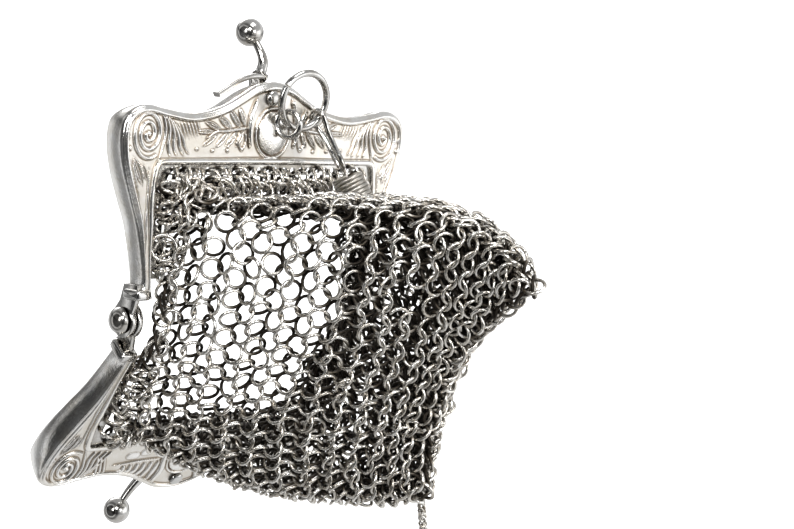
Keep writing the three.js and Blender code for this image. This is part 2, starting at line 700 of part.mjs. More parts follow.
// Half width and half height of the mesh where it hangs inside the lips.
function mouthHalf() {
  const leg = edge(frameStations.find(([name]) => name === 'low leg')).inner;
  const bar = edge(frameStations.at(-1)).inner;
  const lipBack = faceLevel(bar.y - lipWidth) - lipDrop - lipThickness;
  return {
    across: leg.x - lipWidth - mouthInset,
    up: fromUpperHalf(0, bar.y - lipWidth, lipBack).z - mouthInset,
  };
}

function bagPoint(around, depth, inset) {
  const [, near, far, top, bottom, topForward, bottomForward, square] = sectionAt(depth);
  const angle = 2 * Math.PI * around;
  const power = 2 / square;
  const round = (value) => Math.sign(value) * Math.abs(value) ** power;
  const mouth = mouthHalf();
  const halfAcross = (far - near) / 2 * mouth.across;
  const halfUp = (top - bottom) / 2 * mouth.up;
  const fold = foldHeight(around, depth) * Math.min(1, depth / 0.05);
  const across = (halfAcross - inset + fold * Math.abs(Math.cos(angle))) * round(Math.cos(angle));
  const up = (halfUp - inset + fold * Math.abs(Math.sin(angle))) * round(Math.sin(angle));
  const x = (near + far) / 2 * mouth.across + across;
  const z = (top + bottom) / 2 * mouth.up + up;
  const share = THREE.MathUtils.clamp((up / halfUp + 1) / 2, 0, 1);
  const waist = bagWaist * depth ** 3 * Math.sin(Math.PI * share) ** 0.7;
  const forward = THREE.MathUtils.lerp(bottomForward, topForward, share) * bagReach - waist;
  const nearMouth = Math.max(0, 1 - depth / 0.12) ** 1.5;
  const start = bagSections[0][5] * bagReach;
  return vector(x, -forward + (mouthFront(z) + start) * nearMouth, z);
}

function meshBag() {
  const columns = 32;
  const rows = [0, 0.05, 0.1, 0.16, 0.23, 0.31, 0.4, 0.5, 0.6, 0.7, 0.79, 0.87, 0.94, 1];
  const innerRows = rows.slice(0, -1);
  const ring = (depth, inset) => Array.from({ length: columns }, (_, k) => bagPoint(k / columns, depth, inset));
  const outerRings = rows.map((depth) => ring(depth, 0));
  const innerRings = innerRows.map((depth) => ring(depth, bagWall * Math.min(1, 1.15 - depth * 0.5)));
  const skin = loft([...innerRings.reverse(), ...outerRings]);
  return toGeometry(toSolid(skin).subtract(tornHole()));
}

function tornHole() {
  const centre = bagPoint(tear.around, tear.along, 0);
  const nextAround = bagPoint(tear.around + 0.01, tear.along, 0).sub(centre);
  const nextAlong = bagPoint(tear.around, tear.along + 0.01, 0).sub(centre);
  const outward = nextAlong.clone().cross(nextAround).normalize();
  const shape = polygonShape(circlePoints(1, 7).map(([x, y]) => [x * tear.halfWidth, y * tear.halfHeight]));
  const cutter = new THREE.ExtrudeGeometry(shape, { depth: tearCut, bevelEnabled: false }).translate(0, 0, -tearCut / 2);
  cutter.applyQuaternion(new THREE.Quaternion().setFromUnitVectors(vector(0, 0, 1), outward));
  return toSolid(cutter.translate(centre.x, centre.y, centre.z));
}

// Materials
const metal = (color, roughness) => new THREE.MeshStandardMaterial({ color, roughness, metalness: 1 });

function piece(name, geometry, material) {
  geometry.computeVertexNormals();
  const mesh = new THREE.Mesh(geometry, material);
  mesh.name = name;
  return mesh;
}

// A half's own plane, tipped open; the lower one is the upper one turned about Y.
function halfPlane(turned) {
  const lean = new THREE.Group();
  lean.rotation.x = Math.PI / 2 - tilt;
  const half = new THREE.Group();
  half.rotation.y = turned ? Math.PI : 0;
  half.add(lean);
  return { half, lean };
}

function purse() {
  const silver = metal(0xcfcbc2, 0.28);
  const bright = metal(0xdedbd4, 0.15);
  const rings = metal(0x9c978c, 0.38);
  const model = new THREE.Group();
  const upper = halfPlane(false);
  upper.lean.add(piece('frame_upper', frameHalf(true), silver));
  upper.lean.add(piece('clasp_upper', clasp(neckPoints.upper), bright));
  const lower = halfPlane(true);
  lower.lean.add(piece('frame_lower', frameHalf(false), silver));
  lower.lean.add(piece('clasp_lower', clasp(neckPoints.lower), bright));
  model.add(upper.half, lower.half);
  const farRivet = piece('hinge_rivet_far', hingeRivet(), bright);
  const nearRivet = piece('hinge_rivet_near', hingeRivet(), bright);
  nearRivet.rotation.z = Math.PI;
  model.add(farRivet, nearRivet);
  const ring = piece('jump_ring', jumpRing(), bright);
  ring.position.copy(jumpCentre());
  model.add(ring);
  model.add(piece('chain_eye', eyeLink(), bright));
  model.add(piece('chain_collar', collar(), rings));
  model.add(piece('chain', chain(), rings));
  model.add(piece('mesh_bag', meshBag(), rings));
  return model;
}

export default purse();
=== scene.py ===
"""Looks of a small metal mesh purse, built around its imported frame.

Lengths are in millimetres until a mesh is made, and metres in Blender. The hinge axis of the purse is X,
its bag points along -Y, and the upper frame half rises to +Z.
"""

import math

import bpy
import numpy as np
from mathutils import Matrix, Vector

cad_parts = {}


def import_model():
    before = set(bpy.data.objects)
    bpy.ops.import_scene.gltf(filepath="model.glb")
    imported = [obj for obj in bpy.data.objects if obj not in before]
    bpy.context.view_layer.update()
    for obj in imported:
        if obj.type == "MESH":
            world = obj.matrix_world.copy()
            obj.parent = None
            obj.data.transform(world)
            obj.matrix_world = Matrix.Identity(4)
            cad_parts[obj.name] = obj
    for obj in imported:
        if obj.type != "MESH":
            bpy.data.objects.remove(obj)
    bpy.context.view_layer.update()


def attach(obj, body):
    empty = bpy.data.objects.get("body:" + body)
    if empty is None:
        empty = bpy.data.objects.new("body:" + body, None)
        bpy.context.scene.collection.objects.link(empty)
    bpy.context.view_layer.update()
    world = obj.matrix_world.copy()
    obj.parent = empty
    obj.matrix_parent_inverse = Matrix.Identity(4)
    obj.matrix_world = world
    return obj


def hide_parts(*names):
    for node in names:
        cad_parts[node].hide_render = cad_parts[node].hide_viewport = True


MM = 0.001
RANDOM = np.random.default_rng(11)

# Frame halves, as in the part
HALF_WIDTH = 25.5
HALF_HEIGHT = 33.6
OPEN_TILT = math.radians(19.6)
DEPTH_AT_HINGE = 3.3
DEPTH_AT_CREST = 5.3
PARTING_GAP = 0.15
SHEET = 0.7
RIDGE_WIDTH = 0.9
RIDGE_HEIGHT = 0.35
RIM_BEAD = 0.62
RIM_ROUND = 0.55
CLEARANCE = 0.3
FRAME_COLUMNS = 640
FIELD_ROWS = 70

# Lip and its holes, as in the part
LIP_WIDTH = 1.9
LIP_THICKNESS = 0.55
LIP_DROP = 0.35
LIP_HOLE_RADIUS = 0.48
LIP_HOLE_INSET = 1.25
BAR_HOLE_PITCH = 1.52
BAR_HOLE_COUNT = 23
LEG_HOLE_PITCH = 2.25
LEG_HOLE_COUNT = 6

# Stations of a half, foot to crest: inner (across, up) and outer (across, up) as shares of the half's size
FRAME_STATIONS = [
    ("foot", 0.761, 0.098, 0.843, 0.098),
    ("ankle", 0.765, 0.155, 0.808, 0.155),
    ("low leg", 0.776, 0.262, 0.824, 0.256),
    ("mid leg", 0.780, 0.378, 0.863, 0.381),
    ("high leg", 0.788, 0.506, 0.922, 0.506),
    ("shoulder", 0.782, 0.583, 0.969, 0.607),
    ("corner side", 0.774, 0.624, 0.996, 0.696),
    ("corner", 0.765, 0.643, 1.000, 0.786),
    ("corner turn", 0.757, 0.651, 0.976, 0.847),
    ("corner top", 0.745, 0.656, 0.914, 0.882),
    ("volute top", 0.722, 0.658, 0.835, 0.890),
    ("volute end", 0.667, 0.659, 0.729, 0.875),
    ("valley", 0.565, 0.659, 0.565, 0.859),
    ("rise", 0.431, 0.660, 0.424, 0.874),
    ("slope", 0.322, 0.660, 0.314, 0.903),
    ("high slope", 0.220, 0.661, 0.216, 0.943),
    ("crest side", 0.118, 0.661, 0.114, 0.984),
    ("crest", 0.000, 0.661, 0.000, 1.000),
]

# Camera, from the hinge's middle: direction, roll, framing and distance
CAMERA_AZIMUTH = math.radians(-46.2)
CAMERA_ELEVATION = math.radians(19.6)
CAMERA_ROLL = math.radians(16.8)
CAMERA_SHIFT_RIGHT = -22.2
CAMERA_SHIFT_UP = -7.0
CAMERA_DISTANCE = 276.1
SENSOR_WIDTH = 36.0
FOCAL_LENGTH = 86.15


def face_level(up):
    return DEPTH_AT_HINGE + (DEPTH_AT_CREST - DEPTH_AT_HINGE) / HALF_HEIGHT * up


def half_point(across, up, out, upper=True):
    """Points of a half's own plane in the purse's frame. The lower half is the upper one turned about Y."""
    sine, cosine = math.sin(OPEN_TILT), math.cos(OPEN_TILT)
    turn = 1.0 if upper else -1.0
    return np.stack(
        [turn * across, up * sine - out * cosine, turn * (up * cosine + out * sine)], axis=-1
    )


# Mesh helpers


def make_object(name, points, faces, material, attributes=None):
    """A mesh object from points in millimetres. Attributes are one number for each point."""
    mesh = bpy.data.meshes.new(name)
    mesh.from_pydata((np.asarray(points, float) * MM).tolist(), [], [list(map(int, face)) for face in faces])
    mesh.validate()
    mesh.polygons.foreach_set("use_smooth", np.full(len(mesh.polygons), True))
    for key, values in (attributes or {}).items():
        layer = mesh.attributes.new(key, "FLOAT", "POINT")
        layer.data.foreach_set("value", np.asarray(values, np.float32))
    mesh.materials.append(material)
    piece = bpy.data.objects.new(name, mesh)
    bpy.context.scene.collection.objects.link(piece)
    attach(piece, "root")
    return piece


def grid_faces(rows, columns, wrap_rows=False, wrap_columns=False):
    i, j = np.meshgrid(
        np.arange(rows if wrap_rows else rows - 1),
        np.arange(columns if wrap_columns else columns - 1),
        indexing="ij",
    )
    i2, j2 = (i + 1) % rows, (j + 1) % columns
    corners = [i * columns + j, i * columns + j2, i2 * columns + j2, i2 * columns + j]
    return np.stack(corners, -1).reshape(-1, 4)


def tube_faces(rows, columns):
    """Faces of a tube of point rings, with a cap on each end."""
    faces = grid_faces(rows, columns, wrap_columns=True).tolist()
    faces.append(list(range(columns))[::-1])
    faces.append([(rows - 1) * columns + k for k in range(columns)])
    return faces


def joined(parts):
    """One list of points and faces from several."""
    points, faces, start = [], [], 0
    for part_points, part_faces in parts:
        part_points = np.asarray(part_points, float).reshape(-1, 3)
        points.append(part_points)
        faces.extend([[int(k) + start for k in face] for face in part_faces])
        start += len(part_points)
    return np.concatenate(points), faces


def unit(vectors):
    return vectors / np.maximum(np.linalg.norm(vectors, axis=-1, keepdims=True), 1e-9)


def around_circle(count):
    return np.linspace(0, 2 * math.pi, count, endpoint=False)


def basis(axis, helper):
    """Two directions square to an axis and to each other."""
    side = unit(np.cross(axis, helper))
    return side, np.cross(axis, side)


def circle(centre, radius, side, other):
    turn = around_circle(40)[:, None]
    return centre + radius * (np.cos(turn) * side + np.sin(turn) * other)


def spline(p0, p1, p2, p3, share):
    """Catmull-Rom blend from p1 to p2."""
    return (2 * p1 + (p2 - p0) * share + (2 * p0 - 5 * p1 + 4 * p2 - p3) * share**2
            + (3 * p1 - p0 - 3 * p2 + p3) * share**3) / 2


def with_ends(points):
    return np.concatenate([2 * points[:1] - points[1:2], points, 2 * points[-1:] - points[-2:-1]])


def fine_curve(control, steps):
    share = np.linspace(0, 1, steps, endpoint=False)[:, None]
    pieces = [spline(*control[k : k + 4], share) for k in range(len(control) - 3)]
    return np.concatenate(pieces + [control[-2:-1]])


def run_along(points):
    """Length of a line up to each of its points."""
    return np.concatenate([[0], np.cumsum(np.linalg.norm(np.diff(points, axis=0), axis=1))])


def at_runs(goal, run, points):
    return np.stack([np.interp(goal, run, points[:, axis]) for axis in range(points.shape[1])], -1)


def smooth_path(points, count, closed=False):
    """Points evenly spaced on a smooth curve through the given ones."""
    points = np.asarray(points, float)
    control = np.concatenate([points[-1:], points, points[:2]]) if closed else with_ends(points)
    fine = fine_curve(control, 24)
    run = run_along(fine)
    return at_runs(np.linspace(0, run[-1], count, endpoint=not closed), run, fine)


def sweep(path, radii, sides=16, closed=False, first_side=None):
    """A round tube along a path, with one radius for each point, capped unless it is closed."""
    path = np.asarray(path, float)
    count = len(path)
    radii = np.broadcast_to(radii, (count,))
    if closed:
        tangents = unit(np.roll(path, -1, 0) - np.roll(path, 1, 0))
    else:
        tangents = unit(np.gradient(path, axis=0))
    side = np.array(first_side if first_side is not None else [0.3, 0.5, 0.8], float)
    frames = []
    for tangent in tangents:
        side = side - tangent * side.dot(tangent)
        side = side / np.linalg.norm(side)
        frames.append((side, np.cross(tangent, side)))
    angle = around_circle(sides)
    points = np.array([
        centre + radius * (np.cos(angle)[:, None] * a + np.sin(angle)[:, None] * b)
        for centre, radius, (a, b) in zip(path, radii, frames)
    ]).reshape(-1, 3)
    if closed:
        return points, grid_faces(count, sides, wrap_rows=True, wrap_columns=True).tolist()
    return points, tube_faces(count, sides)


def lathe(profile, centre, axis, sides=48):
    """A round body from (radius, along) pairs that start and end on the axis."""
    axis = unit(np.asarray(axis, float))
    side, other = basis(axis, [0.31, 0.17, 0.93])
    profile = np.asarray(profile, float)
    angle = around_circle(sides)
    middle = profile[1:-1]
    spokes = np.cos(angle)[:, None] * side + np.sin(angle)[:, None] * other
    rings = [np.asarray(centre) + along * axis + radius * spokes for radius, along in middle]
    points = np.concatenate(rings + [np.asarray(centre) + profile[k, 1] * axis[None, :] for k in (0, -1)])
    faces = grid_faces(len(middle), sides, wrap_columns=True).tolist()
    first, last = len(points) - 2, len(points) - 1
    for k in range(sides):
        following = (k + 1) % sides
        faces.append([first, following, k])
        base = (len(middle) - 1) * sides
        faces.append([last, base + k, base + following])
    return points, faces


def rounded_plate(outline, thickness, round_edge, place):
    """A flat plate with rounded edges. place turns (x, y, height) arrays into points."""
    outline = np.asarray(outline, float)
    inward = unit(np.roll(outline, 1, 0) - np.roll(outline, -1, 0))
    inward = np.stack([inward[:, 1], -inward[:, 0]], -1)
    area = np.sum(outline[:, 0] * np.roll(outline[:, 1], -1) - np.roll(outline[:, 0], -1) * outline[:, 1])
    if area < 0:
        inward = -inward
    steps = [(round_edge * (1 - math.sin(turn)), round_edge * (1 - math.cos(turn)))
             for turn in np.linspace(0, math.pi / 2, 4)]
    levels = steps + [(inset, thickness - height) for inset, height in reversed(steps)]
    rings = []
    for inset, height in levels:
        flat = outline + inward * inset
        rings.append(place(flat[:, 0], flat[:, 1], np.full(len(flat), height)))
    return np.concatenate(rings), tube_faces(len(levels), len(outline))


# Materials


def node_material(name, base, roughness, build):
    material = bpy.data.materials.new(name)
    material.use_nodes = True
    tree = material.node_tree
    shader = tree.nodes["Principled BSDF"]
    shader.inputs["Base Color"].default_value = (*base, 1)
    shader.inputs["Metallic"].default_value = 1.0
    shader.inputs["Roughness"].default_value = roughness
    build(tree, shader)
    return material


def add(tree, kind, **settings):
    node = tree.nodes.new(kind)
    for key, value in settings.items():
        setattr(node, key, value)
    return node


def attribute(tree, name):
    return add(tree, "ShaderNodeAttribute", attribute_name=name).outputs["Fac"]


def object_noise(tree, scale, detail):
    place = add(tree, "ShaderNodeTexCoord")
    noise = add(tree, "ShaderNodeTexNoise")
    noise.inputs["Scale"].default_value = scale
    noise.inputs["Detail"].default_value = detail
    noise.inputs["Roughness"].default_value = 0.6
    tree.links.new(place.outputs["Object"], noise.inputs["Vector"])
    return noise.outputs["Fac"]


def ramp(tree, value, stops):
    node = add(tree, "ShaderNodeValToRGB")
    while len(node.color_ramp.elements) < len(stops):
        node.color_ramp.elements.new(0.5)
    for element, (position, colour) in zip(node.color_ramp.elements, stops):
        element.position = position
        element.color = (*colour, 1)
    tree.links.new(value, node.inputs["Fac"])
    return node.outputs["Color"]


def grey(value):
    return (value, value, value)


def grey_ramp(tree, value, stops):
    return ramp(tree, value, [(place, grey(level)) for place, level in stops])


def multiplied(tree, factor, first, second):
    node = add(tree, "ShaderNodeMix", data_type="RGBA", blend_type="MULTIPLY")
    node.inputs[0].default_value = factor
    tree.links.new(first, node.inputs[6])
    tree.links.new(second, node.inputs[7])
    return node.outputs[2]


def darken(tree, shader, colour, *layers):
    """Multiplies a colour by layers of (factor, colour) and makes it the shader's own."""
    for factor, layer in layers:
        colour = multiplied(tree, factor, colour, layer)
    tree.links.new(colour, shader.inputs["Base Color"])


def bump(tree, shader, height, strength, distance):
    node = add(tree, "ShaderNodeBump")
    node.inputs["Strength"].default_value = strength
    node.inputs["Distance"].default_value = distance
    tree.links.new(height, node.inputs["Height"])
    tree.links.new(node.outputs["Normal"], shader.inputs["Normal"])


def painted_crevice_shade(tree, distance):
    """Painted shade of hollows from ambient occlusion, from 1 in the open to 0 deep inside."""
    node = add(tree, "ShaderNodeAmbientOcclusion")
    node.samples = 6
    node.inputs["Distance"].default_value = distance
    return node.outputs["AO"]


def relief_silver():
    """Bright worn silver, with tarnish and painted shade darkening its grooves and crevices."""
    def build(tree, shader):
        height = attribute(tree, "relief")
        groove_tarnish_and_shade = attribute(tree, "groove_tarnish_and_shade")
        tone = ramp(tree, height, [(0.0, (0.80, 0.775, 0.72)), (0.35, (0.90, 0.885, 0.86)),
                                   (0.8, (0.91, 0.905, 0.89))])
        cloud = ramp(tree, object_noise(tree, 300, 6), [(0.36, (0.82, 0.78, 0.71)), (0.60, grey(1.0))])
        # Tarnish and painted shade: colour darkened in the grooves of the relief
        dark = ramp(tree, groove_tarnish_and_shade, [(0.04, grey(1.0)), (0.45, (0.52, 0.46, 0.39)), (1.0, (0.24, 0.20, 0.17))])
        # Painted shade: colour darkened in crevices found by ambient occlusion
        near = ramp(tree, painted_crevice_shade(tree, 0.0008), [(0.15, (0.45, 0.40, 0.34)), (0.70, grey(1.0))])
        darken(tree, shader, tone, (0.7, cloud), (1.0, dark), (0.8, near))
        rough = grey_ramp(tree, height, [(0.0, 0.46), (0.5, 0.30), (1.0, 0.17)])
        tree.links.new(rough, shader.inputs["Roughness"])
        bump(tree, shader, object_noise(tree, 2200, 4), 0.45, 0.00006)
    return node_material("relief_silver", (0.75, 0.74, 0.72), 0.25, build)


def polished_silver():
    def build(tree, shader):
        patches = object_noise(tree, 340, 5)
        cloud = ramp(tree, patches, [(0.34, (0.44, 0.42, 0.39)), (0.58, (0.64, 0.635, 0.62))])
        # Painted shade: colour darkened in crevices found by ambient occlusion
        near = ramp(tree, painted_crevice_shade(tree, 0.0010), [(0.10, (0.38, 0.34, 0.29)), (0.60, grey(1.0))])
        darken(tree, shader, cloud, (0.85, near))
        rough = grey_ramp(tree, object_noise(tree, 900, 4), [(0.40, 0.10), (0.72, 0.26)])
        tree.links.new(rough, shader.inputs["Roughness"])
        bump(tree, shader, object_noise(tree, 520, 3), 0.12, 0.00012)
    return node_material("polished_silver", (0.85, 0.84, 0.82), 0.15, build)


def ring_silver():
    """Wire that is worn bright on the outside of the mesh and black behind it, from tarnish and painted
    shade.
    """
    def build(tree, shader):
        tone = attribute(tree, "tone")
        wear_and_painted_shade = attribute(tree, "wear_and_painted_shade")
        base = ramp(tree, tone, [(0.0, (0.52, 0.49, 0.45)), (0.5, (0.82, 0.80, 0.76)),
                                 (1.0, (0.93, 0.915, 0.88))])
        spots = ramp(tree, object_noise(tree, 900, 5), [(0.38, (0.52, 0.47, 0.40)), (0.58, grey(1.0))])
        # Tarnish and painted shade: wire nearly black where it lies behind the mesh
        tarnish_and_shade = ramp(tree, wear_and_painted_shade, [(0.0, (0.055, 0.048, 0.042)), (0.35, (0.20, 0.18, 0.155)),
                                    (0.66, grey(1.0))])
        # Painted shade: colour darkened in crevices found by ambient occlusion
        near = ramp(tree, painted_crevice_shade(tree, 0.0012), [(0.05, (0.38, 0.35, 0.32)), (0.50, grey(1.0))])
        darken(tree, shader, base, (0.7, spots), (1.0, tarnish_and_shade), (0.9, near))
        rough = grey_ramp(tree, wear_and_painted_shade, [(0.0, 0.55), (0.8, 0.24)])
        tree.links.new(rough, shader.inputs["Roughness"])
        bump(tree, shader, object_noise(tree, 2600, 3), 0.15, 0.00005)
    return node_material("ring_silver", (0.6, 0.58, 0.55), 0.3, build)


# Relief of a frame face: blades are tapered curved ridges, (across, up) in millimetres

VOLUTE_CENTRE = (21.35, 25.95)
VOLUTE_RADII = (2.55, 3.45)
VOLUTE_TURNS = 2.3
VOLUTE_START = -120
SHIELD_CENTRE = (0.0, 26.3)
SHIELD_RADII = (2.75, 3.15)

# Long flutes beside the volute: points from top to bottom, and width
FLUTES = [
    ([(19.4, 29.3), (18.60, 26.6), (18.95, 24.2), (19.6, 21.9)], 0.42),
    ([(18.9, 28.9), (17.95, 26.6), (18.00, 24.3), (17.5, 22.7)], 0.52),
    ([(18.4, 28.6), (17.25, 26.3), (17.10, 24.3), (16.4, 22.8)], 0.46),
    ([(17.9, 28.2), (16.50, 25.9), (16.10, 24.3), (15.3, 22.9)], 0.50),
    ([(17.3, 27.7), (15.75, 25.6), (15.20, 24.2), (14.4, 23.1)], 0.40),
]

# Lobes of the upper leaf: root, tip and how far its edges bow
UPPER_LOBES = [
    ((4.9, 27.1), (6.3, 29.9), 0.16),
    ((5.7, 26.9), (7.9, 29.5), 0.17),
    ((7.2, 26.7), (9.8, 28.6), 0.18),
    ((9.0, 26.5), (12.2, 27.9), 0.16),
    ((10.2, 26.4), (13.4, 26.3), 0.14),
    ((5.2, 26.7), (6.4, 24.2), 0.17),
    ((6.2, 26.6), (8.3, 24.0), 0.17),
    ((7.8, 26.4), (10.0, 24.1), 0.18),
    ((9.6, 26.2), (12.3, 24.2), 0.16),
]


UPPER_PEARLS = [(10.4, 23.75), (7.8, 23.75), (5.3, 24.0), (13.1, 23.9)]

# Rounded squares of the lower half: across, up, width, height
LOWER_SQUARES = [(10.15, 24.95, 1.75, 1.45), (7.80, 24.45, 1.45, 1.45), (5.85, 24.05, 1.10, 1.45)]

# Single ridges: points, widths along them and height
LEG_LINES = [
    ([(23.9, 22.4), (22.6, 18.6), (21.7, 14.0), (21.3, 9.5)], (0.30, 0.36, 0.26), 0.26),
    ([(20.9, 21.4), (20.85, 17.0), (20.75, 12.0), (20.5, 7.0)], (0.36, 0.40, 0.30), 0.30),
]
UPPER_LINES = [
    ([(4.7, 26.95), (8.05, 26.5), (10.0, 26.35), (11.9, 25.3)], (0.55, 0.50, 0.40, 0.25), 0.42),
    ([(3.2, 31.2), (4.05, 28.6), (4.2, 26.0), (3.9, 24.0)], (0.55, 0.80, 0.55, 0.34), 0.62),
    ([(5.0, 26.6), (4.75, 25.2), (5.3, 23.8), (6.0, 25.0), (5.9, 26.4)], (0.26, 0.30, 0.26), 0.28),
    ([(4.9, 30.9), (6.0, 30.3), (9.0, 29.0), (12.0, 28.6)], (0.3, 0.35, 0.3), 0.22),
]
LOWER_LINES = [
    ([(4.4, 26.2), (9.0, 26.15), (13.4, 26.6)], (0.34, 0.40, 0.30), 0.34),
    ([(3.2, 33.2), (4.2, 31.4), (3.5, 28.8), (3.9, 26.6), (4.3, 23.9)], (0.7, 1.1, 1.2, 0.9, 0.6), 0.48),
    ([(4.6, 31.9), (8.0, 30.8), (12.0, 30.2), (15.5, 30.2)], (0.5, 0.45, 0.35), 0.30),
]


def blade(start, bend, end, width, height):
    """A ridge along a quadratic curve, widest at its middle: rows of across, up, radius, height."""
    share = np.linspace(0, 1, 17)[:, None]
    start, bend, end = (np.array(p, float) for p in (start, bend, end))
    line = (1 - share) ** 2 * start + 2 * share * (1 - share) * bend + share**2 * end
    swell = np.sin(math.pi * np.clip(share, 0.04, 0.97)) ** 0.6
    return np.concatenate([line, width / 2 * swell, height * np.sqrt(swell)], axis=1)


def arc(centre, radii, start, end, width, height, inward, steps):
    """A ridge along an elliptic spiral, angles in degrees. inward is the share of radius it loses."""
    share = np.linspace(0, 1, steps)
    angle = np.radians(start + (end - start) * share)
    scale = 1 - inward * share
    return np.stack([
        centre[0] + radii[0] * scale * np.cos(angle),
        centre[1] + radii[1] * scale * np.sin(angle),
        np.full(steps, width / 2),
        np.full(steps, height),
    ], axis=1)


def pearl(across, up, radius, height):
    return np.array([[across, up, radius, height]])


def lobe(root, tip, width, height, bulge):
    """A pointed leaf lobe: a middle vein between two bowed edges."""
    root, tip = np.array(root, float), np.array(tip, float)
    along = tip - root
    aside = np.array([-along[1], along[0]])
    middle = (root + tip) / 2
    return [
        blade(root, middle + bulge * aside, tip, width, height),
        blade(root, middle - bulge * aside, tip, width, height),
        blade(root, middle + 0.1 * bulge * aside, root + 0.8 * along, width * 0.7, height * 0.8),
    ]


def ridge_line(points, widths, height):
    """A ridge along a smooth line with its own width at each point."""
    line = smooth_path(points, 60)
    share = np.linspace(0, 1, 60)
    radius = np.interp(share, np.linspace(0, 1, len(widths)), widths) / 2
    taper = np.clip(np.minimum(share, 1 - share) / 0.08, 0.35, 1)
    return np.column_stack([line, radius * taper, height * np.sqrt(taper)])


def ridge_lines(rows):
    return [ridge_line(*row) for row in rows]


def volute_and_flutes():
    cu, cv = VOLUTE_CENTRE
    last = VOLUTE_START + 360 * VOLUTE_TURNS
    strokes = [arc(VOLUTE_CENTRE, VOLUTE_RADII, VOLUTE_START, last, 0.60, 0.42, inward=0.80, steps=170)]
    strokes.append(pearl(cu, cv, 0.42, 0.50))
    for points, width in FLUTES:
        strokes.append(ridge_line(points, (width * 0.55, width, width, width * 0.6), 0.34))
    for k in range(4):
        angle = math.radians(-28 + 22 * k)
        strokes.append(pearl(cu + 3.2 * math.cos(angle), cv + 4.3 * math.sin(angle), 0.27, 0.34))
    strokes += lobe((23.6, 22.9), (21.7, 18.9), 0.40, 0.36, 0.20)
    strokes += lobe((22.2, 22.0), (21.1, 19.6), 0.30, 0.30, 0.22)
    return strokes + ridge_lines(LEG_LINES)


def upper_ornament():
    """A spiky leaf that grows from the middle panel, pearls, and the panel's bright border."""
    strokes = []
    for root, tip, bulge in UPPER_LOBES:
        strokes += lobe(root, tip, 0.34, 0.36, bulge)
    strokes += [pearl(across, up, 0.27, 0.36) for across, up in UPPER_PEARLS]
    for k in range(9):
        across = 12.6 + 0.52 * k
        top, low = (across + 0.9, 28.3 - 0.12 * k), (across - 0.35, 25.4 - 0.1 * k)
        strokes.append(blade(top, (across + 0.55, 27.0), low, 0.26, 0.24))
    return strokes + ridge_lines(UPPER_LINES)


def lower_ornament():
    """Rounded squares along the ridge, a broad leaf beyond them and a smooth band round the panel."""
    strokes = []
    for across, up, wide, tall in LOWER_SQUARES:
        ends = [(across - wide / 2 + 0.3, up), (across + wide / 2 - 0.3, up)]
        strokes.append(ridge_line(ends, (tall, tall), 0.30))
    for k in range(6):
        root = (4.7 + 1.25 * k, 26.7 + 0.03 * k)
        tip = (5.6 + 1.75 * k, 31.0 - 0.42 * k)
        strokes.append(ridge_line([root, (root[0] + 0.15, 28.6 - 0.12 * k), tip], (0.6, 1.0, 0.5), 0.34))
    for k in range(3):
        line = [(14.1 + 0.75 * k, 29.4), (14.4 + 0.7 * k, 27.2), (15.4 + 0.6 * k, 24.2)]
        strokes.append(ridge_line(line, (0.3, 0.5, 0.3), 0.32))
    return strokes + ridge_lines(LOWER_LINES)


def face_ornament(upper):
    """All ridges of one side of a face, for across at or above nought."""
    return volute_and_flutes() + (upper_ornament() if upper else lower_ornament())


def relief_height(across, up, upper):
    """Height of the relief at points of a face, and among it the smooth low shield in the middle."""
    shape = across.shape
    place = np.stack([np.abs(across).ravel(), up.ravel()], -1)
    height = np.zeros(len(place))
    for stroke in face_ornament(upper):
        reach = stroke[:, 2].max()
        low, high = stroke[:, :2].min(0) - reach, stroke[:, :2].max(0) + reach
        near = np.flatnonzero(np.all((place >= low) & (place <= high), axis=1))
        if not len(near):
            continue
        apart = np.linalg.norm(place[near][:, None, :] - stroke[None, :, :2], axis=2)
        share = np.clip(apart / np.maximum(stroke[None, :, 2], 1e-3), 0, 1)
        rise = (stroke[None, :, 3] * (1 - share**2) ** 0.6).max(axis=1)
        height[near] = np.maximum(height[near], rise)
    from_shield = np.hypot(*((place - SHIELD_CENTRE) / SHIELD_RADII).T)
    dome = 0.28 + 0.30 * np.clip(1 - from_shield**2, 0, 1)
    height = np.where(from_shield < 0.97, dome, np.where(from_shield < 1.05, 0.0, height))
    border = 0.36 * np.clip(1 - ((from_shield - 1.12) / 0.07) ** 2, 0, 1) ** 0.6
    return np.maximum(height, border).reshape(shape)


def blurred(values, steps):
    """Means over a small square of a grid."""
    for axis in (0, 1):
        total = np.zeros_like(values)
        for step in range(-steps, steps + 1):
            total += np.roll(values, step, axis)
        values = total / (2 * steps + 1)
    return values


def half_edges(columns):
    """Inner and outer edge points of a half, foot to crest to foot, evenly spread."""
    rows = np.array([row[1:] for row in FRAME_STATIONS])
    inner = rows[:, :2] * [HALF_WIDTH, HALF_HEIGHT]
    outer = rows[:, 2:] * [HALF_WIDTH, HALF_HEIGHT]
    both = np.concatenate([inner, outer], axis=1)
    mirrored = both[:-1] * [-1, 1, -1, 1]
    fine = fine_curve(with_ends(np.concatenate([both, mirrored[::-1]])), 40)
    step = np.diff(fine, axis=0)
    pace = 0.65 * np.hypot(step[:, 2], step[:, 3]) + 0.35 * np.hypot(step[:, 0], step[:, 1])
    pace *= 1 + 1.3 * np.clip((fine[1:, 3] - 17) / 4, 0, 1)
    run = np.concatenate([[0], np.cumsum(pace)])
    even = at_runs(np.linspace(0, run[-1], columns), run, fine)
    return even[:, :2], even[:, 2:]


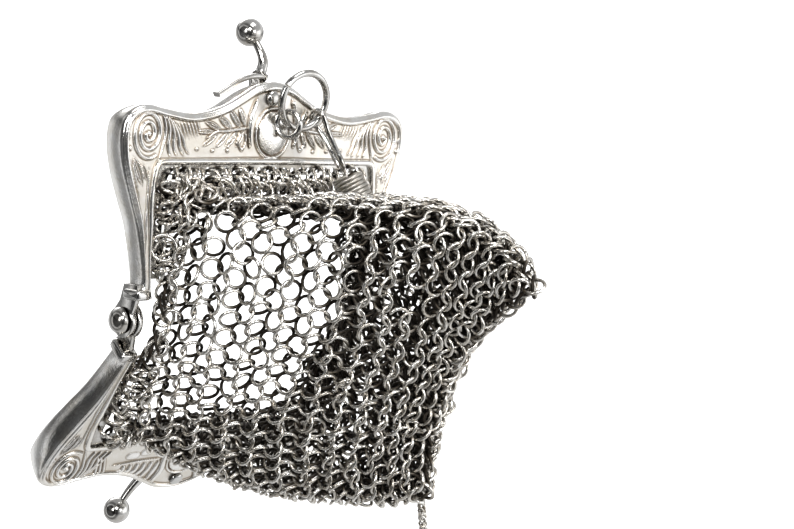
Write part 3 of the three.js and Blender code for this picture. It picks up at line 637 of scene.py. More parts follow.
def face_profile(fit, width, field_from, field_to):
    """Rows of a face from ridge to rim: distance from the inner edge, rise, and whether relief lies on it."""
    profile = [(-RIDGE_WIDTH / 2 * fit, -LIP_DROP - LIP_THICKNESS, False)]
    for turn in np.linspace(math.pi, 0, 9):
        drop = LIP_DROP * 0.6 if turn > math.pi / 2 + 0.9 else 0.0
        rise = (RIDGE_HEIGHT * math.sin(turn) - drop) * fit
        profile.append((RIDGE_WIDTH / 2 * math.cos(turn) * fit, rise, False))
    for share in np.linspace(0.02, 0.98, FIELD_ROWS):
        profile.append((field_from + (field_to - field_from) * share, -0.16 * fit, True))
    bead_middle = width - (RIM_ROUND + RIM_BEAD / 2) * fit
    for turn in np.linspace(math.pi, 0, 7):
        along = bead_middle + RIM_BEAD / 2 * math.cos(turn) * fit
        profile.append((along, 0.26 * math.sin(turn) * fit, False))
    for turn in np.linspace(0.15, 1, 6) * math.pi / 2:
        along = width - RIM_ROUND * (1 - math.sin(turn)) * fit
        profile.append((along, -RIM_ROUND * (1 - math.cos(turn)) * 1.5, False))
    return profile


def frame_shell(upper):
    """The stamped half: ridge, relief field, bead, rounded rim, outer wall and hollow back."""
    inner, outer = half_edges(FRAME_COLUMNS)
    width = np.linalg.norm(outer - inner, axis=1)
    toward = (outer - inner) / width[:, None]
    fit = np.minimum(1.0, width / 2.6)
    field_from, field_to = RIDGE_WIDTH / 2 * fit, width - (RIM_BEAD + RIM_ROUND) * fit
    rows, reliefs, fields = [], [], []

    def add_row(place, out, relief):
        rows.append((place, np.broadcast_to(out, fit.shape)))
        reliefs.append(np.broadcast_to(relief, fit.shape))

    def moved(place, distance):
        return place - toward * distance[:, None]

    for along, rise, is_field in face_profile(fit, width, field_from, field_to):
        place = moved(inner, -along)
        lift, relief = 0.0, 0.9
        if is_field:
            fade = np.clip(np.minimum(along - field_from, field_to - along) / 0.22, 0, 1)
            lift = relief_height(place[:, 0], place[:, 1], upper) * fade
            relief = np.clip(0.22 + lift / 0.55, 0, 1)
            fields.append(len(rows))
        add_row(place, face_level(place[:, 1]) + rise + lift, relief)
    level = np.stack([out - face_level(place[:, 1]) for place, out in rows])
    # Tarnish and painted shade of the grooves: how far the relief lies below its blurred level, later
    # darkening its colour
    sunk = blurred(level, 2) - level
    groove_tarnish_and_shade = np.zeros_like(level)
    groove_tarnish_and_shade[fields] = np.clip(sunk[fields] / 0.13, 0, 1)
    rim, rim_out = rows[-1]
    draft = 0.6 * np.clip(toward[:, 1], 0, 1)
    for share in np.linspace(0.12, 1, 9):
        pull = draft * share + (0.35 * share**2 - 0.10 * math.sin(math.pi * share)) * fit
        add_row(moved(rim, pull), rim_out + (PARTING_GAP - rim_out) * share, 1.0)
    foot = rows[-1][0]
    for inset, out in ((0.12, PARTING_GAP - 0.05), (SHEET * 0.85, PARTING_GAP), (SHEET, PARTING_GAP + 0.15)):
        add_row(moved(foot, inset * fit), out, 0.8)
    back = rows[-1][0]
    under = face_level(foot[:, 1]) - SHEET - 0.35
    for share in (0.3, 0.6, 0.85, 1.0):
        add_row(back, PARTING_GAP + 0.15 + (under - PARTING_GAP - 0.15) * share, 0.35)
    end = moved(inner, RIDGE_WIDTH / 2 * fit)
    for share in np.linspace(0.12, 1, 8):
        place = back + (end - back) * share
        add_row(place, face_level(place[:, 1]) - LIP_DROP - LIP_THICKNESS - 0.10, 0.35)
    points = np.stack([half_point(place[:, 0], place[:, 1], out, upper) for place, out in rows], axis=1)
    plain = np.zeros((len(rows) - len(groove_tarnish_and_shade), FRAME_COLUMNS))
    groove_tarnish_and_shade = np.concatenate([groove_tarnish_and_shade, plain]).T.ravel()
    attributes = {"relief": np.stack(reliefs, axis=1).ravel(), "groove_tarnish_and_shade": groove_tarnish_and_shade}
    return points.reshape(-1, 3), tube_faces(FRAME_COLUMNS, len(rows)), attributes


def lip_holes():
    rows = np.array([row[1:3] for row in FRAME_STATIONS]) * [HALF_WIDTH, HALF_HEIGHT]
    bar_up = rows[-1][1] - LIP_HOLE_INSET
    bar = [((k - (BAR_HOLE_COUNT - 1) / 2) * BAR_HOLE_PITCH, bar_up) for k in range(BAR_HOLE_COUNT)]
    leg_top = bar_up - LEG_HOLE_PITCH * 1.15
    leg_across = rows[4][0] - LIP_HOLE_INSET - RIDGE_WIDTH / 3
    leg = [(leg_across, leg_top - k * LEG_HOLE_PITCH) for k in range(LEG_HOLE_COUNT)]
    return bar, leg


def drilled_cell(low, high, centre, upper):
    """A rectangle of lip with one round hole: top, bottom, hole wall and edges."""
    sides = 20
    angle = (np.arange(sides) + 0.5) / sides * 2 * math.pi
    reach = np.stack([np.cos(angle), np.sin(angle)], -1)
    hole = np.array(centre) + LIP_HOLE_RADIUS * reach
    limit = np.where(reach > 0, (np.array(high) - centre) / reach, (np.array(low) - centre) / reach)
    border = np.array(centre) + reach * limit.min(axis=1)[:, None]
    for corner in ((low[0], low[1]), (high[0], low[1]), (high[0], high[1]), (low[0], high[1])):
        border[np.argmin(np.linalg.norm(border - np.array(corner), axis=1))] = corner
    rings = [(border, -LIP_DROP), (hole, -LIP_DROP), (hole, -LIP_DROP - LIP_THICKNESS),
             (border, -LIP_DROP - LIP_THICKNESS)]
    points = [half_point(p[:, 0], p[:, 1], face_level(p[:, 1]) + rise, upper) for p, rise in rings]
    return np.concatenate(points), grid_faces(4, sides, wrap_rows=True, wrap_columns=True).tolist()


def flat_cell(low, high, upper):
    u = np.array([low[0], high[0], high[0], low[0]] * 2)
    v = np.array([low[1], low[1], high[1], high[1]] * 2)
    rise = np.repeat([-LIP_DROP, -LIP_DROP - LIP_THICKNESS], 4)
    points = half_point(u, v, face_level(v) + rise, upper)
    faces = [[0, 1, 2, 3], [7, 6, 5, 4]] + [[k, k + 4, (k + 1) % 4 + 4, (k + 1) % 4] for k in range(4)]
    return points, faces


def frame_lip(upper):
    rows = np.array([row[1:3] for row in FRAME_STATIONS]) * [HALF_WIDTH, HALF_HEIGHT]
    bar, leg = lip_holes()
    bar_top = rows[-1][1] + RIDGE_WIDTH / 3
    bar_low = rows[-1][1] - LIP_WIDTH
    leg_out = rows[4][0] + RIDGE_WIDTH / 4
    leg_in = leg[0][0] - (LIP_WIDTH - LIP_HOLE_INSET)
    half_pitch = BAR_HOLE_PITCH / 2
    parts = []
    for u, v in bar:
        parts.append(drilled_cell((u - half_pitch, bar_low), (u + half_pitch, bar_top), (u, v), upper))
    bar_end = bar[-1][0] + half_pitch
    for side in (1, -1):
        low, high = sorted((side * bar_end, side * leg_out))
        parts.append(flat_cell((low, bar_low), (high, bar_top), upper))
        tops = [leg[0][1] + LEG_HOLE_PITCH / 2] + [v - LEG_HOLE_PITCH / 2 for _, v in leg]
        low_u, high_u = sorted((side * leg_in, side * leg_out))
        parts.append(flat_cell((low_u, tops[0]), (high_u, bar_low), upper))
        for (u, v), top, bottom in zip(leg, tops[:-1], tops[1:]):
            parts.append(drilled_cell((low_u, bottom), (high_u, top), (side * u, v), upper))
    return joined(parts)


EYE_RADIUS = 2.5
EYE_THICKNESS = 0.8
EYE_OUTER_REACH = 21.4


def hinge_eye(side, outer_face, upper):
    """Flat disc with the strap up to the foot of the leg."""
    foot_up = FRAME_STATIONS[1][2] * HALF_HEIGHT
    front = face_level(foot_up) - 0.1
    turn = np.radians(np.linspace(130, 390, 34))
    disc = np.stack([EYE_RADIUS * np.cos(turn), EYE_RADIUS * np.sin(turn)], -1)
    strap = [[front - 0.35, foot_up * 0.62], [front, foot_up],
             [PARTING_GAP, foot_up], [-0.75, foot_up * 0.55]]
    outline = np.concatenate([disc, np.array(strap)])
    middle = side * (outer_face - EYE_THICKNESS / 2)

    def place(out, up, height):
        return half_point(middle + height - EYE_THICKNESS / 2, up, out, upper)

    return rounded_plate(outline, EYE_THICKNESS, 0.16, place)


def ankle_cuff(side, upper):
    """Rounded band where a leg meets its hinge eye."""
    cosine, sine = np.cos(around_circle(36)), np.sin(around_circle(36))
    out = 2.15 + 1.85 * np.sign(cosine) * np.abs(cosine) ** 0.45
    up = 3.80 + 0.80 * np.sign(sine) * np.abs(sine) ** 0.45
    inner, outer = sorted((side * 19.35, side * 21.75))

    def place(out, up, height):
        return half_point(inner + height, up, out, upper)

    return rounded_plate(np.stack([out, up], -1), outer - inner, 0.45, place)


LOOP_RADIUS = 1.8
LOOP_WIRE = 0.45
LOOP_CENTRE = (0.05 * HALF_WIDTH, 0.824 * HALF_HEIGHT, LOOP_RADIUS - 0.05)
LOOP_AXIS = (-0.89, 0.0, 0.45)


def soldered_loop():
    side, other = basis(unit(np.array(LOOP_AXIS)), [0, 1, 0])
    centre = np.array(LOOP_CENTRE) + [0, 0, face_level(LOOP_CENTRE[1])]
    flat = circle(centre, LOOP_RADIUS, side, other)
    path = half_point(flat[:, 0], flat[:, 1], flat[:, 2])
    return sweep(path, LOOP_WIRE, 14, closed=True)


def build_frame(upper, materials):
    name = "frame_upper" if upper else "frame_lower"
    points, faces, attributes = frame_shell(upper)
    shell = make_object(name + "_shell", points, faces, materials["relief"],
                        attributes=attributes)
    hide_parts(name)
    inner_reach = EYE_OUTER_REACH - EYE_THICKNESS - CLEARANCE
    fittings = [frame_lip(upper), hinge_eye(-1, EYE_OUTER_REACH, upper), hinge_eye(1, inner_reach, upper)]
    fittings += [ankle_cuff(-1, upper), ankle_cuff(1, upper)]
    if upper:
        fittings.append(soldered_loop())
    points, faces = joined(fittings)
    piece = make_object(name + "_fittings", points, faces, materials["polished"])
    sharpen(piece)
    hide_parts(name)


def sharpen(piece, degrees=40):
    """Smooth shading that keeps edges sharper than an angle."""
    mesh = piece.data
    mesh.update()
    mesh.set_sharp_from_angle(angle=math.radians(degrees))


# Clasps and hinge

CREST_ACROSS = -0.5
STRAP_WIDTH = 1.5
STRAP_THICKNESS = 0.8
STRAP_LENGTH = 6.6
BALL_RADIUS = 2.05
RIVET_RADIUS = 0.55
RIVET_HEAD_RADIUS = 1.1
RIM_WIDTH = 1.5
NECK_POINTS = {
    "upper": [(0.016, 0.030, 0.024), (0.034, 0.080, 0.018), (0.026, 0.130, 0.002), (0.010, 0.205, -0.052)],
    "lower": [(0.030, 0.030, 0.024), (0.060, 0.080, 0.030), (0.100, 0.140, 0.050), (0.140, 0.215, 0.082)],
}


def build_clasp(upper, materials):
    key = "upper" if upper else "lower"
    rivet_up = HALF_HEIGHT - RIM_WIDTH - RIVET_RADIUS - CLEARANCE
    _, outer = half_edges(900)
    crest = outer[(outer[:, 0] > CREST_ACROSS - STRAP_LENGTH) & (outer[:, 0] < CREST_ACROSS + 2.0)]
    crest = crest[np.argsort(crest[:, 0])]
    heading = unit(np.gradient(crest, axis=0))
    normal = np.stack([-heading[:, 1], heading[:, 0]], -1)
    gap = CLEARANCE * 1.1
    middle = crest + normal * (gap + STRAP_THICKNESS / 2)
    strap_out = PARTING_GAP + CLEARANCE * 0.8 + STRAP_WIDTH / 2
    section = []
    for turn in around_circle(20):
        c, s = math.cos(turn), math.sin(turn)
        section.append((math.copysign(abs(c) ** 0.45, c) * STRAP_THICKNESS / 2,
                        math.copysign(abs(s) ** 0.45, s) * STRAP_WIDTH / 2))
    section = np.array(section)
    share = np.linspace(0, 1, len(middle))
    slim = np.where(share > 0.9, np.sqrt(np.clip((1 - share) / 0.1, 0.02, 1)), 1.0)
    rings = []
    for (u, v), (nu, nv), scale in zip(middle, normal, slim):
        rings.append(half_point(u + nu * section[:, 0], v + nv * section[:, 0],
                                strap_out + section[:, 1] * scale, upper))
    parts = [(np.concatenate(rings), tube_faces(len(rings), 20))]
    shares = np.array(NECK_POINTS[key])
    neck = np.stack([shares[:, 0], 1 + shares[:, 1], shares[:, 2]], -1) * HALF_HEIGHT
    low = np.array([[neck[0, 0] - 0.5, HALF_HEIGHT + 0.55, strap_out]])
    path = smooth_path(np.concatenate([low, neck]), 34)
    path = half_point(path[:, 0], path[:, 1], path[:, 2], upper)
    radii = np.interp(np.linspace(0, 1, 34), [0, 0.15, 0.5, 0.8, 1], [1.15, 0.82, 0.66, 0.55, 0.62])
    parts.append(sweep(path, radii, 18))
    parts.append(ball(path[-1], BALL_RADIUS))
    level = face_level(rivet_up)
    head = [(0, 0.0), (1.0, 0.0), (1.0, 0.08), (0.86, 0.30), (0.5, 0.46), (0, 0.52)]
    head_profile = [(RIVET_HEAD_RADIUS * share, height) for share, height in head]
    base = half_point(CREST_ACROSS, rivet_up, level + 0.12, upper)
    above = half_point(CREST_ACROSS, rivet_up, level + 1.12, upper)
    parts.append(lathe(head_profile, base, above - base, 32))
    low_end = -SHEET - 1.6 - 0.12
    shank = [(0, low_end), (RIVET_RADIUS, low_end), (RIVET_RADIUS, 0.05), (0, 0.05)]
    parts.append(lathe(shank, base, above - base, 24))
    wall_inside = HALF_HEIGHT - 0.6 - 0.9 - CLEARANCE * 1.3
    face_back = face_level(rivet_up - RIVET_HEAD_RADIUS) - 0.9 - CLEARANCE
    back = PARTING_GAP + CLEARANCE * 0.8
    left, right = CREST_ACROSS - STRAP_WIDTH / 2, CREST_ACROSS + STRAP_WIDTH / 2
    boxes = [
        ((left, rivet_up - RIVET_HEAD_RADIUS, face_back - STRAP_THICKNESS), (right, wall_inside, face_back)),
        ((left, wall_inside - STRAP_THICKNESS, back), (right, wall_inside, face_back)),
        ((left, wall_inside - STRAP_THICKNESS, back), (right, HALF_HEIGHT + gap + STRAP_THICKNESS * 0.8,
                                                       back + STRAP_THICKNESS)),
    ]
    for low_corner, high_corner in boxes:
        outline = [(low_corner[0], low_corner[1]), (high_corner[0], low_corner[1]),
                   (high_corner[0], high_corner[1]), (low_corner[0], high_corner[1])]

        def place(u, v, height, base_level=low_corner[2]):
            return half_point(u, v, base_level + height, upper)

        parts.append(rounded_plate(subdivided(outline, 4), high_corner[2] - low_corner[2], 0.12, place))
    points, faces = joined(parts)
    piece = make_object(f"clasp_{key}_ball_and_strap", points, faces, materials["polished"])
    sharpen(piece, 50)
    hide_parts(f"clasp_{key}")


def subdivided(outline, steps):
    outline = np.asarray(outline, float)
    following = np.roll(outline, -1, 0)
    share = np.linspace(0, 1, steps, endpoint=False)[None, :, None]
    return (outline[:, None] * (1 - share) + following[:, None] * share).reshape(-1, 2)


def ball(centre, radius):
    turns = np.linspace(0, math.pi, 25)
    profile = [(radius * math.sin(turn), -radius * math.cos(turn)) for turn in turns]
    profile[0] = (0, -radius)
    profile[-1] = (0, radius)
    return lathe(profile, centre, (0, 0.2, 1), 40)


def build_hinge_rivets(materials):
    inner_seat = EYE_OUTER_REACH - 2 * EYE_THICKNESS - 2 * CLEARANCE
    outer_seat = EYE_OUTER_REACH + CLEARANCE
    for name, side in (("near", -1), ("far", 1)):
        profile = [(0, inner_seat - 0.7), (0.9, inner_seat - 0.66), (1.3, inner_seat - 0.3),
                   (1.38, inner_seat), (0.6, inner_seat), (0.6, outer_seat), (1.9, outer_seat)]
        for turn in np.linspace(0.08, 1, 14) * math.pi / 2:
            radius = 1.9 * math.cos(turn) ** 0.9 if turn < math.pi / 2 else 0
            profile.append((radius, outer_seat + 1.45 * math.sin(turn)))
        profile[-1] = (0, outer_seat + 1.45)
        points, faces = lathe(profile, (0, 0, 0), (side, 0, 0), 48)
        piece = make_object(f"hinge_dome_{name}", points, faces, materials["polished"])
        sharpen(piece, 50)
        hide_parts(f"hinge_rivet_{name}")


# Chain

JUMP_RADIUS = 4.06
JUMP_WIRE = 0.54
JUMP_ROLL = math.radians(58)
HOOK_ROLL = math.radians(-38)
JUMP_AXIS = (0.0, -0.99, 0.14)
EYE_LINK_LENGTH = 9.2
EYE_LINK_WIDTH = 1.1
EYE_LINK_FOOT = 1.0
EYE_LINK_WIRE = 0.42
COLLAR_RADIUS = 2.3
COLLAR_LENGTH = 4.4
CHAIN_RADIUS = 0.72
CHAIN_ROUTE = [
    (10.2, -4.9, 20.9),
    (13.6, -6.6, 21.4),
    (17.4, -8.6, 20.0),
    (20.0, -11.0, 15.5),
    (20.7, -14.0, 8.0),
    (20.2, -18.0, 0.0),
    (18.6, -23.0, -8.0),
    (16.9, -27.5, -14.5),
    (16.0, -31.0, -19.0),
    (15.6, -33.6, -22.6),
]


def jump_spoke(angle):
    axis = unit(np.array(JUMP_AXIS))
    upward = np.array([0, axis[2], -axis[1]])
    return JUMP_RADIUS * (math.cos(angle) * np.array([1.0, 0, 0]) + math.sin(angle) * upward)


def jump_centre():
    across, up, out = LOOP_CENTRE
    return half_point(across, up, out + face_level(up)) + jump_spoke(JUMP_ROLL)


def collar_line():
    hook = jump_centre() + jump_spoke(HOOK_ROLL)
    start = np.array(CHAIN_ROUTE[0])
    along = unit(start - hook)
    return hook, start, along, start + along * CHAIN_RADIUS * 2


def build_jump_ring(materials):
    centre = jump_centre()
    gap = 0.035
    turn = np.linspace(math.radians(150) + gap, math.radians(510) - gap, 90)
    path = np.array([centre + jump_spoke(angle) for angle in turn])
    points, faces = sweep(path, JUMP_WIRE, 16, first_side=JUMP_AXIS)
    piece = make_object("jump_ring_wire", points, faces, materials["polished"])
    sharpen(piece, 60)
    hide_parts("jump_ring")


def build_eye_link(materials):
    hook, _, along, _ = collar_line()
    axis = unit(np.array(JUMP_AXIS))
    facing = axis + 0.35 * np.array([0, axis[2], -axis[1]])
    side = unit(np.cross(np.cross(along, facing), along))
    bend = JUMP_WIRE + EYE_LINK_WIRE + CLEARANCE
    top = hook - along * bend
    right = [(0, 0), (bend * (1 - math.sqrt(0.5)), bend * math.sqrt(0.5)), (bend, bend * 1.04),
             (EYE_LINK_LENGTH * 0.38, EYE_LINK_WIDTH * 0.7), (EYE_LINK_LENGTH * 0.62, EYE_LINK_WIDTH / 2),
             (EYE_LINK_LENGTH * 0.9, EYE_LINK_FOOT / 2), (EYE_LINK_LENGTH, 0)]
    left = [(down, -out) for down, out in right[-2:0:-1]]
    points = np.array([top + down * along + out * side for down, out in right + left])
    path = smooth_path(points, 90, closed=True)
    points, faces = sweep(path, EYE_LINK_WIRE, 16, closed=True)
    piece = make_object("chain_eye_wire", points, faces, materials["polished"])
    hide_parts("chain_eye")


def build_collar(materials):
    _, _, along, end = collar_line()
    side, other = basis(along, [0.2, 0.3, 1.0])
    wire = 0.30
    turns = COLLAR_LENGTH / (wire * 2.02)
    share = np.linspace(0, 1, int(turns * 26))[:, None]
    angle = 2 * math.pi * turns * share
    radius = COLLAR_RADIUS - wire
    path = end - along * (COLLAR_LENGTH - wire) * (1 - share) - along * wire * 0.5
    path = path + radius * (np.cos(angle) * side + np.sin(angle) * other)
    coil = sweep(path, wire, 10, first_side=along)
    core = sweep([end - along * (COLLAR_LENGTH - 0.5), end - along * 0.4], radius * 0.78, 24)
    points, faces = joined([coil, core])
    # One middling level of wear and painted shade, which darkens the whole coil a little
    piece = make_object("chain_collar_coil", points, faces, materials["ring"],
                        attributes={"tone": np.full(len(points), 0.35), "wear_and_painted_shade": np.full(len(points), 0.55)})
    sharpen(piece, 50)
    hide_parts("chain_collar")


def build_chain(materials):
    """Rope chain: small round links that turn and step along the route, each through the ones before."""
    _, start, along, end = collar_line()
    leave = end + along * (CHAIN_RADIUS + CLEARANCE)
    route = np.concatenate([[start], [leave], np.array(CHAIN_ROUTE[1:])])
    link_radius, wire = 0.52, 0.185
    fine = smooth_path(route, 900)
    run = run_along(fine)
    pitch = 0.30
    centres = at_runs(np.arange(int(run[-1] / pitch)) * pitch, run, fine)
    tangents = unit(np.gradient(centres, axis=0))
    side = np.array([0.3, 0.5, 0.8])
    normals = []
    for k, tangent in enumerate(tangents):
        side = unit(side - tangent * side.dot(tangent))
        other = np.cross(tangent, side)
        turn = math.radians(62.0) * k
        aside = math.cos(turn) * side + math.sin(turn) * other
        normals.append(unit(aside * math.cos(math.radians(38)) + tangent * math.sin(math.radians(38))))
    points, faces, _ = ring_mesh(centres, np.array(normals), link_radius, wire, 12, 6)
    last, outward = fine[-1], unit(fine[-1] - fine[-20])
    ring_side, _ = basis(outward, [1.0, 0, 0])
    end_ring = sweep(circle(last + outward * 1.5, 1.5, outward, ring_side), 0.4, 12, closed=True)
    points, faces = joined([(points, faces), end_ring])
    tone = 0.45 + 0.25 * np.sin(np.arange(len(points)) * 0.013)
    piece = make_object("rope_chain", points, faces, materials["ring"],
                        attributes={"tone": tone, "wear_and_painted_shade": np.full(len(points), 0.7)})
    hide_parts("chain")


# Bag surface, as in the part

BAG_REACH = 45.0
BAG_WAIST = 8.2
MOUTH_INSET = 0.65

# Sections of the bag: depth, near, far, top, bottom, forward place of top and bottom, squareness
BAG_SECTIONS = [
    (0.00, -1.000, 1.000, 1.000, -1.000, -0.055, -0.055, 7.0),
    (0.08, -0.984, 1.021, 0.991, -1.008, 0.030, 0.030, 6.0),
    (0.20, -0.828, 1.035, 1.068, -1.043, 0.165, 0.140, 4.5),
    (0.35, -0.532, 1.043, 1.213, -1.034, 0.340, 0.290, 3.6),
    (0.50, -0.222, 1.021, 1.325, -0.974, 0.505, 0.440, 3.2),
    (0.65, 0.059, 0.924, 1.367, -0.872, 0.665, 0.570, 2.9),
    (0.80, 0.288, 0.806, 1.342, -0.735, 0.800, 0.690, 2.6),
    (0.92, 0.429, 0.688, 1.261, -0.598, 0.895, 0.770, 2.4),
    (1.00, 0.496, 0.599, 1.217, -0.504, 0.965, 0.820, 2.2),
]

# Folds of the bag: around, depth, width around, width along, height as a share of HALF_HEIGHT
FOLDS = [
    (0.25, 0.09, 0.085, 0.06, -0.055),  # sag behind the top edge
    (0.193, 0.165, 0.045, 0.070, -0.070),  # hollow under the collar
    (0.36, 0.10, 0.030, 0.05, 0.030),  # crumple by the near corner
    (0.27, 0.55, 0.060, 0.30, 0.020),  # top finger ridge
    (0.50, 0.98, 0.100, 0.20, -0.030),  # pull between the tips
    (0.55, 0.20, 0.050, 0.15, -0.030),  # near side hollow
    (0.70, 0.35, 0.080, 0.20, 0.035),  # lower bulge
    (0.00, 0.45, 0.030, 0.35, -0.040),  # far side fold
    (0.92, 0.55, 0.030, 0.30, 0.030),  # far side fold below
    (0.77, 0.60, 0.030, 0.25, -0.035),  # underside fold
]

TEAR = (0.437, 0.68)
TEAR_HALF_SIZE = (3.5, 2.5)


def section_at(depth):
    """Section values at each depth, blended as in the part."""
    rows = np.array(BAG_SECTIONS)
    last = len(rows) - 1
    following = np.clip(np.searchsorted(rows[:, 0], depth - 1e-9), 1, last)
    p0, p1, p2, p3 = (rows[np.clip(following + k, 0, last)] for k in (-2, -1, 0, 1))
    share = ((depth - p1[:, 0]) / (p2[:, 0] - p1[:, 0]))[:, None]
    return spline(p0, p1, p2, p3, share).T


def mouth_half():
    rows = {row[0]: row for row in FRAME_STATIONS}
    bar_up = rows["crest"][2] * HALF_HEIGHT - LIP_WIDTH
    lip_back = face_level(bar_up) - LIP_DROP - LIP_THICKNESS
    corner = half_point(0.0, bar_up, lip_back)
    return rows["low leg"][1] * HALF_WIDTH - LIP_WIDTH - MOUTH_INSET, corner[2] - MOUTH_INSET


def mouth_front(height):
    rise = np.abs(height) / math.cos(OPEN_TILT)
    lip = rise * math.sin(OPEN_TILT) - (face_level(rise) - LIP_DROP - LIP_THICKNESS / 2) * math.cos(OPEN_TILT)
    return lip - 0.1 * HALF_HEIGHT * np.exp(-((height / (0.17 * HALF_HEIGHT)) ** 2))


def bag_point(around, depth):
    """Outer surface of the bag, for an array of places around, at one depth or at one for each place."""
    around = np.asarray(around, float)
    depth = np.clip(np.broadcast_to(depth, around.shape), 0, 1)
    _, near, far, top, bottom, top_forward, bottom_forward, square = section_at(depth)
    angle = 2 * math.pi * around
    mouth_across, mouth_up = mouth_half()
    half_across, half_up = (far - near) / 2 * mouth_across, (top - bottom) / 2 * mouth_up
    fold = np.zeros_like(around)
    for place, along, wide, long, height in FOLDS:
        apart = np.abs((around % 1.0) - place)
        apart = np.minimum(apart, 1 - apart) / wide
        fold += height * HALF_HEIGHT * np.exp(-(apart**2) - ((depth - along) / long) ** 2)
    fold *= np.minimum(1.0, depth / 0.05)
    cosine, sine = np.cos(angle), np.sin(angle)
    across = (half_across + fold * np.abs(cosine)) * np.sign(cosine) * np.abs(cosine) ** (2 / square)
    up = (half_up + fold * np.abs(sine)) * np.sign(sine) * np.abs(sine) ** (2 / square)
    z = (top + bottom) / 2 * mouth_up + up
    share = np.clip((up / half_up + 1) / 2, 0, 1)
    waist = BAG_WAIST * depth**3 * np.sin(math.pi * share) ** 0.7
    forward = (bottom_forward + (top_forward - bottom_forward) * share) * BAG_REACH - waist
    near_mouth = np.clip(1 - depth / 0.12, 0, 1) ** 1.5
    start = BAG_SECTIONS[0][5] * BAG_REACH
    y = -forward + (mouth_front(z) + start) * near_mouth
    return np.stack([(near + far) / 2 * mouth_across + across, y, z], -1)


def bag_spot(around, depth):
    return bag_point(np.array([around]), depth)[0]


# Ring mesh

RING_OUTER = 3.4
RING_WIRE = 0.5
RING_RADIUS = (RING_OUTER - RING_WIRE) / 2
RING_ROWS = 38
ROW_STEP = 0.0358
RING_SEGMENTS = 16
HEAP_COUNT = 34
WIRE_SIDES = 6
RING_LEAN = math.radians(31)

# Rows stand upright in the picture, so they lie less deep along the top of the bag:
# place around, share of depth
ROW_SKEW = [(0.00, 0.88), (0.12, 0.79), (0.25, 0.73), (0.30, 0.74), (0.40, 0.86), (0.50, 0.98), (0.58, 1.0),
            (0.78, 1.0), (1.00, 0.88)]

# How closely the rings stand in their rows: place around, and the pitch they tend to, in millimetres
RING_CROWDING = [(0.00, 1.9), (0.12, 1.8), (0.22, 2.0), (0.29, 2.5), (0.36, 2.9), (0.42, 3.4), (0.47, 3.4),
                 (0.51, 2.7), (0.56, 2.4), (0.62, 2.2), (0.75, 1.9), (0.88, 1.9), (1.00, 1.9)]


def ring_axes(normals):
    """Two directions in the plane of each ring."""
    return basis(normals, np.where(np.abs(normals[:, 2:3]) < 0.9, [[0.0, 0.0, 1.0]], [[1.0, 0.0, 0.0]]))


def ring_mesh(centres, normals, radius, wire, segments, sides, outwards=None, gaps=None):
    """Rings as tori, with their wear and painted shade: 1 where the wire faces out of the mesh and 0 behind
    it.

    gaps, in radians, opens a ring, and its two ends are then pinched to a point.
    """
    count = len(centres)
    normals = unit(np.asarray(normals, float))
    side, other = ring_axes(normals)
    radius = np.broadcast_to(radius, (count,))
    angle = np.broadcast_to(around_circle(segments), (count, segments))
    thick = np.ones(segments)
    if gaps is not None:
        share = np.linspace(0, 1, segments)
        first = RANDOM.uniform(0, 2 * math.pi, count)[:, None]
        angle = first + (2 * math.pi - np.asarray(gaps)[:, None]) * share
        thick = np.where((share > 0) & (share < 1), 1.0, 0.02)
    spoke = np.cos(angle)[..., None] * side[:, None] + np.sin(angle)[..., None] * other[:, None]
    girth = around_circle(sides)
    wide = wire * thick[None, :, None, None]
    out = (radius[:, None, None, None] + wide * np.cos(girth)[None, None, :, None]) * spoke[:, :, None]
    points = centres[:, None, None] + out + wide * np.sin(girth)[None, None, :, None] * normals[:, None, None]
    one = grid_faces(segments, sides, wrap_rows=gaps is None, wrap_columns=True)
    faces = one[None] + (np.arange(count) * segments * sides)[:, None, None]
    wear_and_painted_shade = np.ones(points.shape[:3])
    # Wear and painted shade: wire darker the further it lies behind the ring's centre, away from the outside
    # of the mesh
    if outwards is not None:
        front = np.einsum("csgk,ck->csg", points - centres[:, None, None], outwards)
        wear_and_painted_shade = np.clip(0.42 + front / 0.85, 0, 1)
    return points.reshape(-1, 3), faces.reshape(-1, 4), wear_and_painted_shade.ravel()


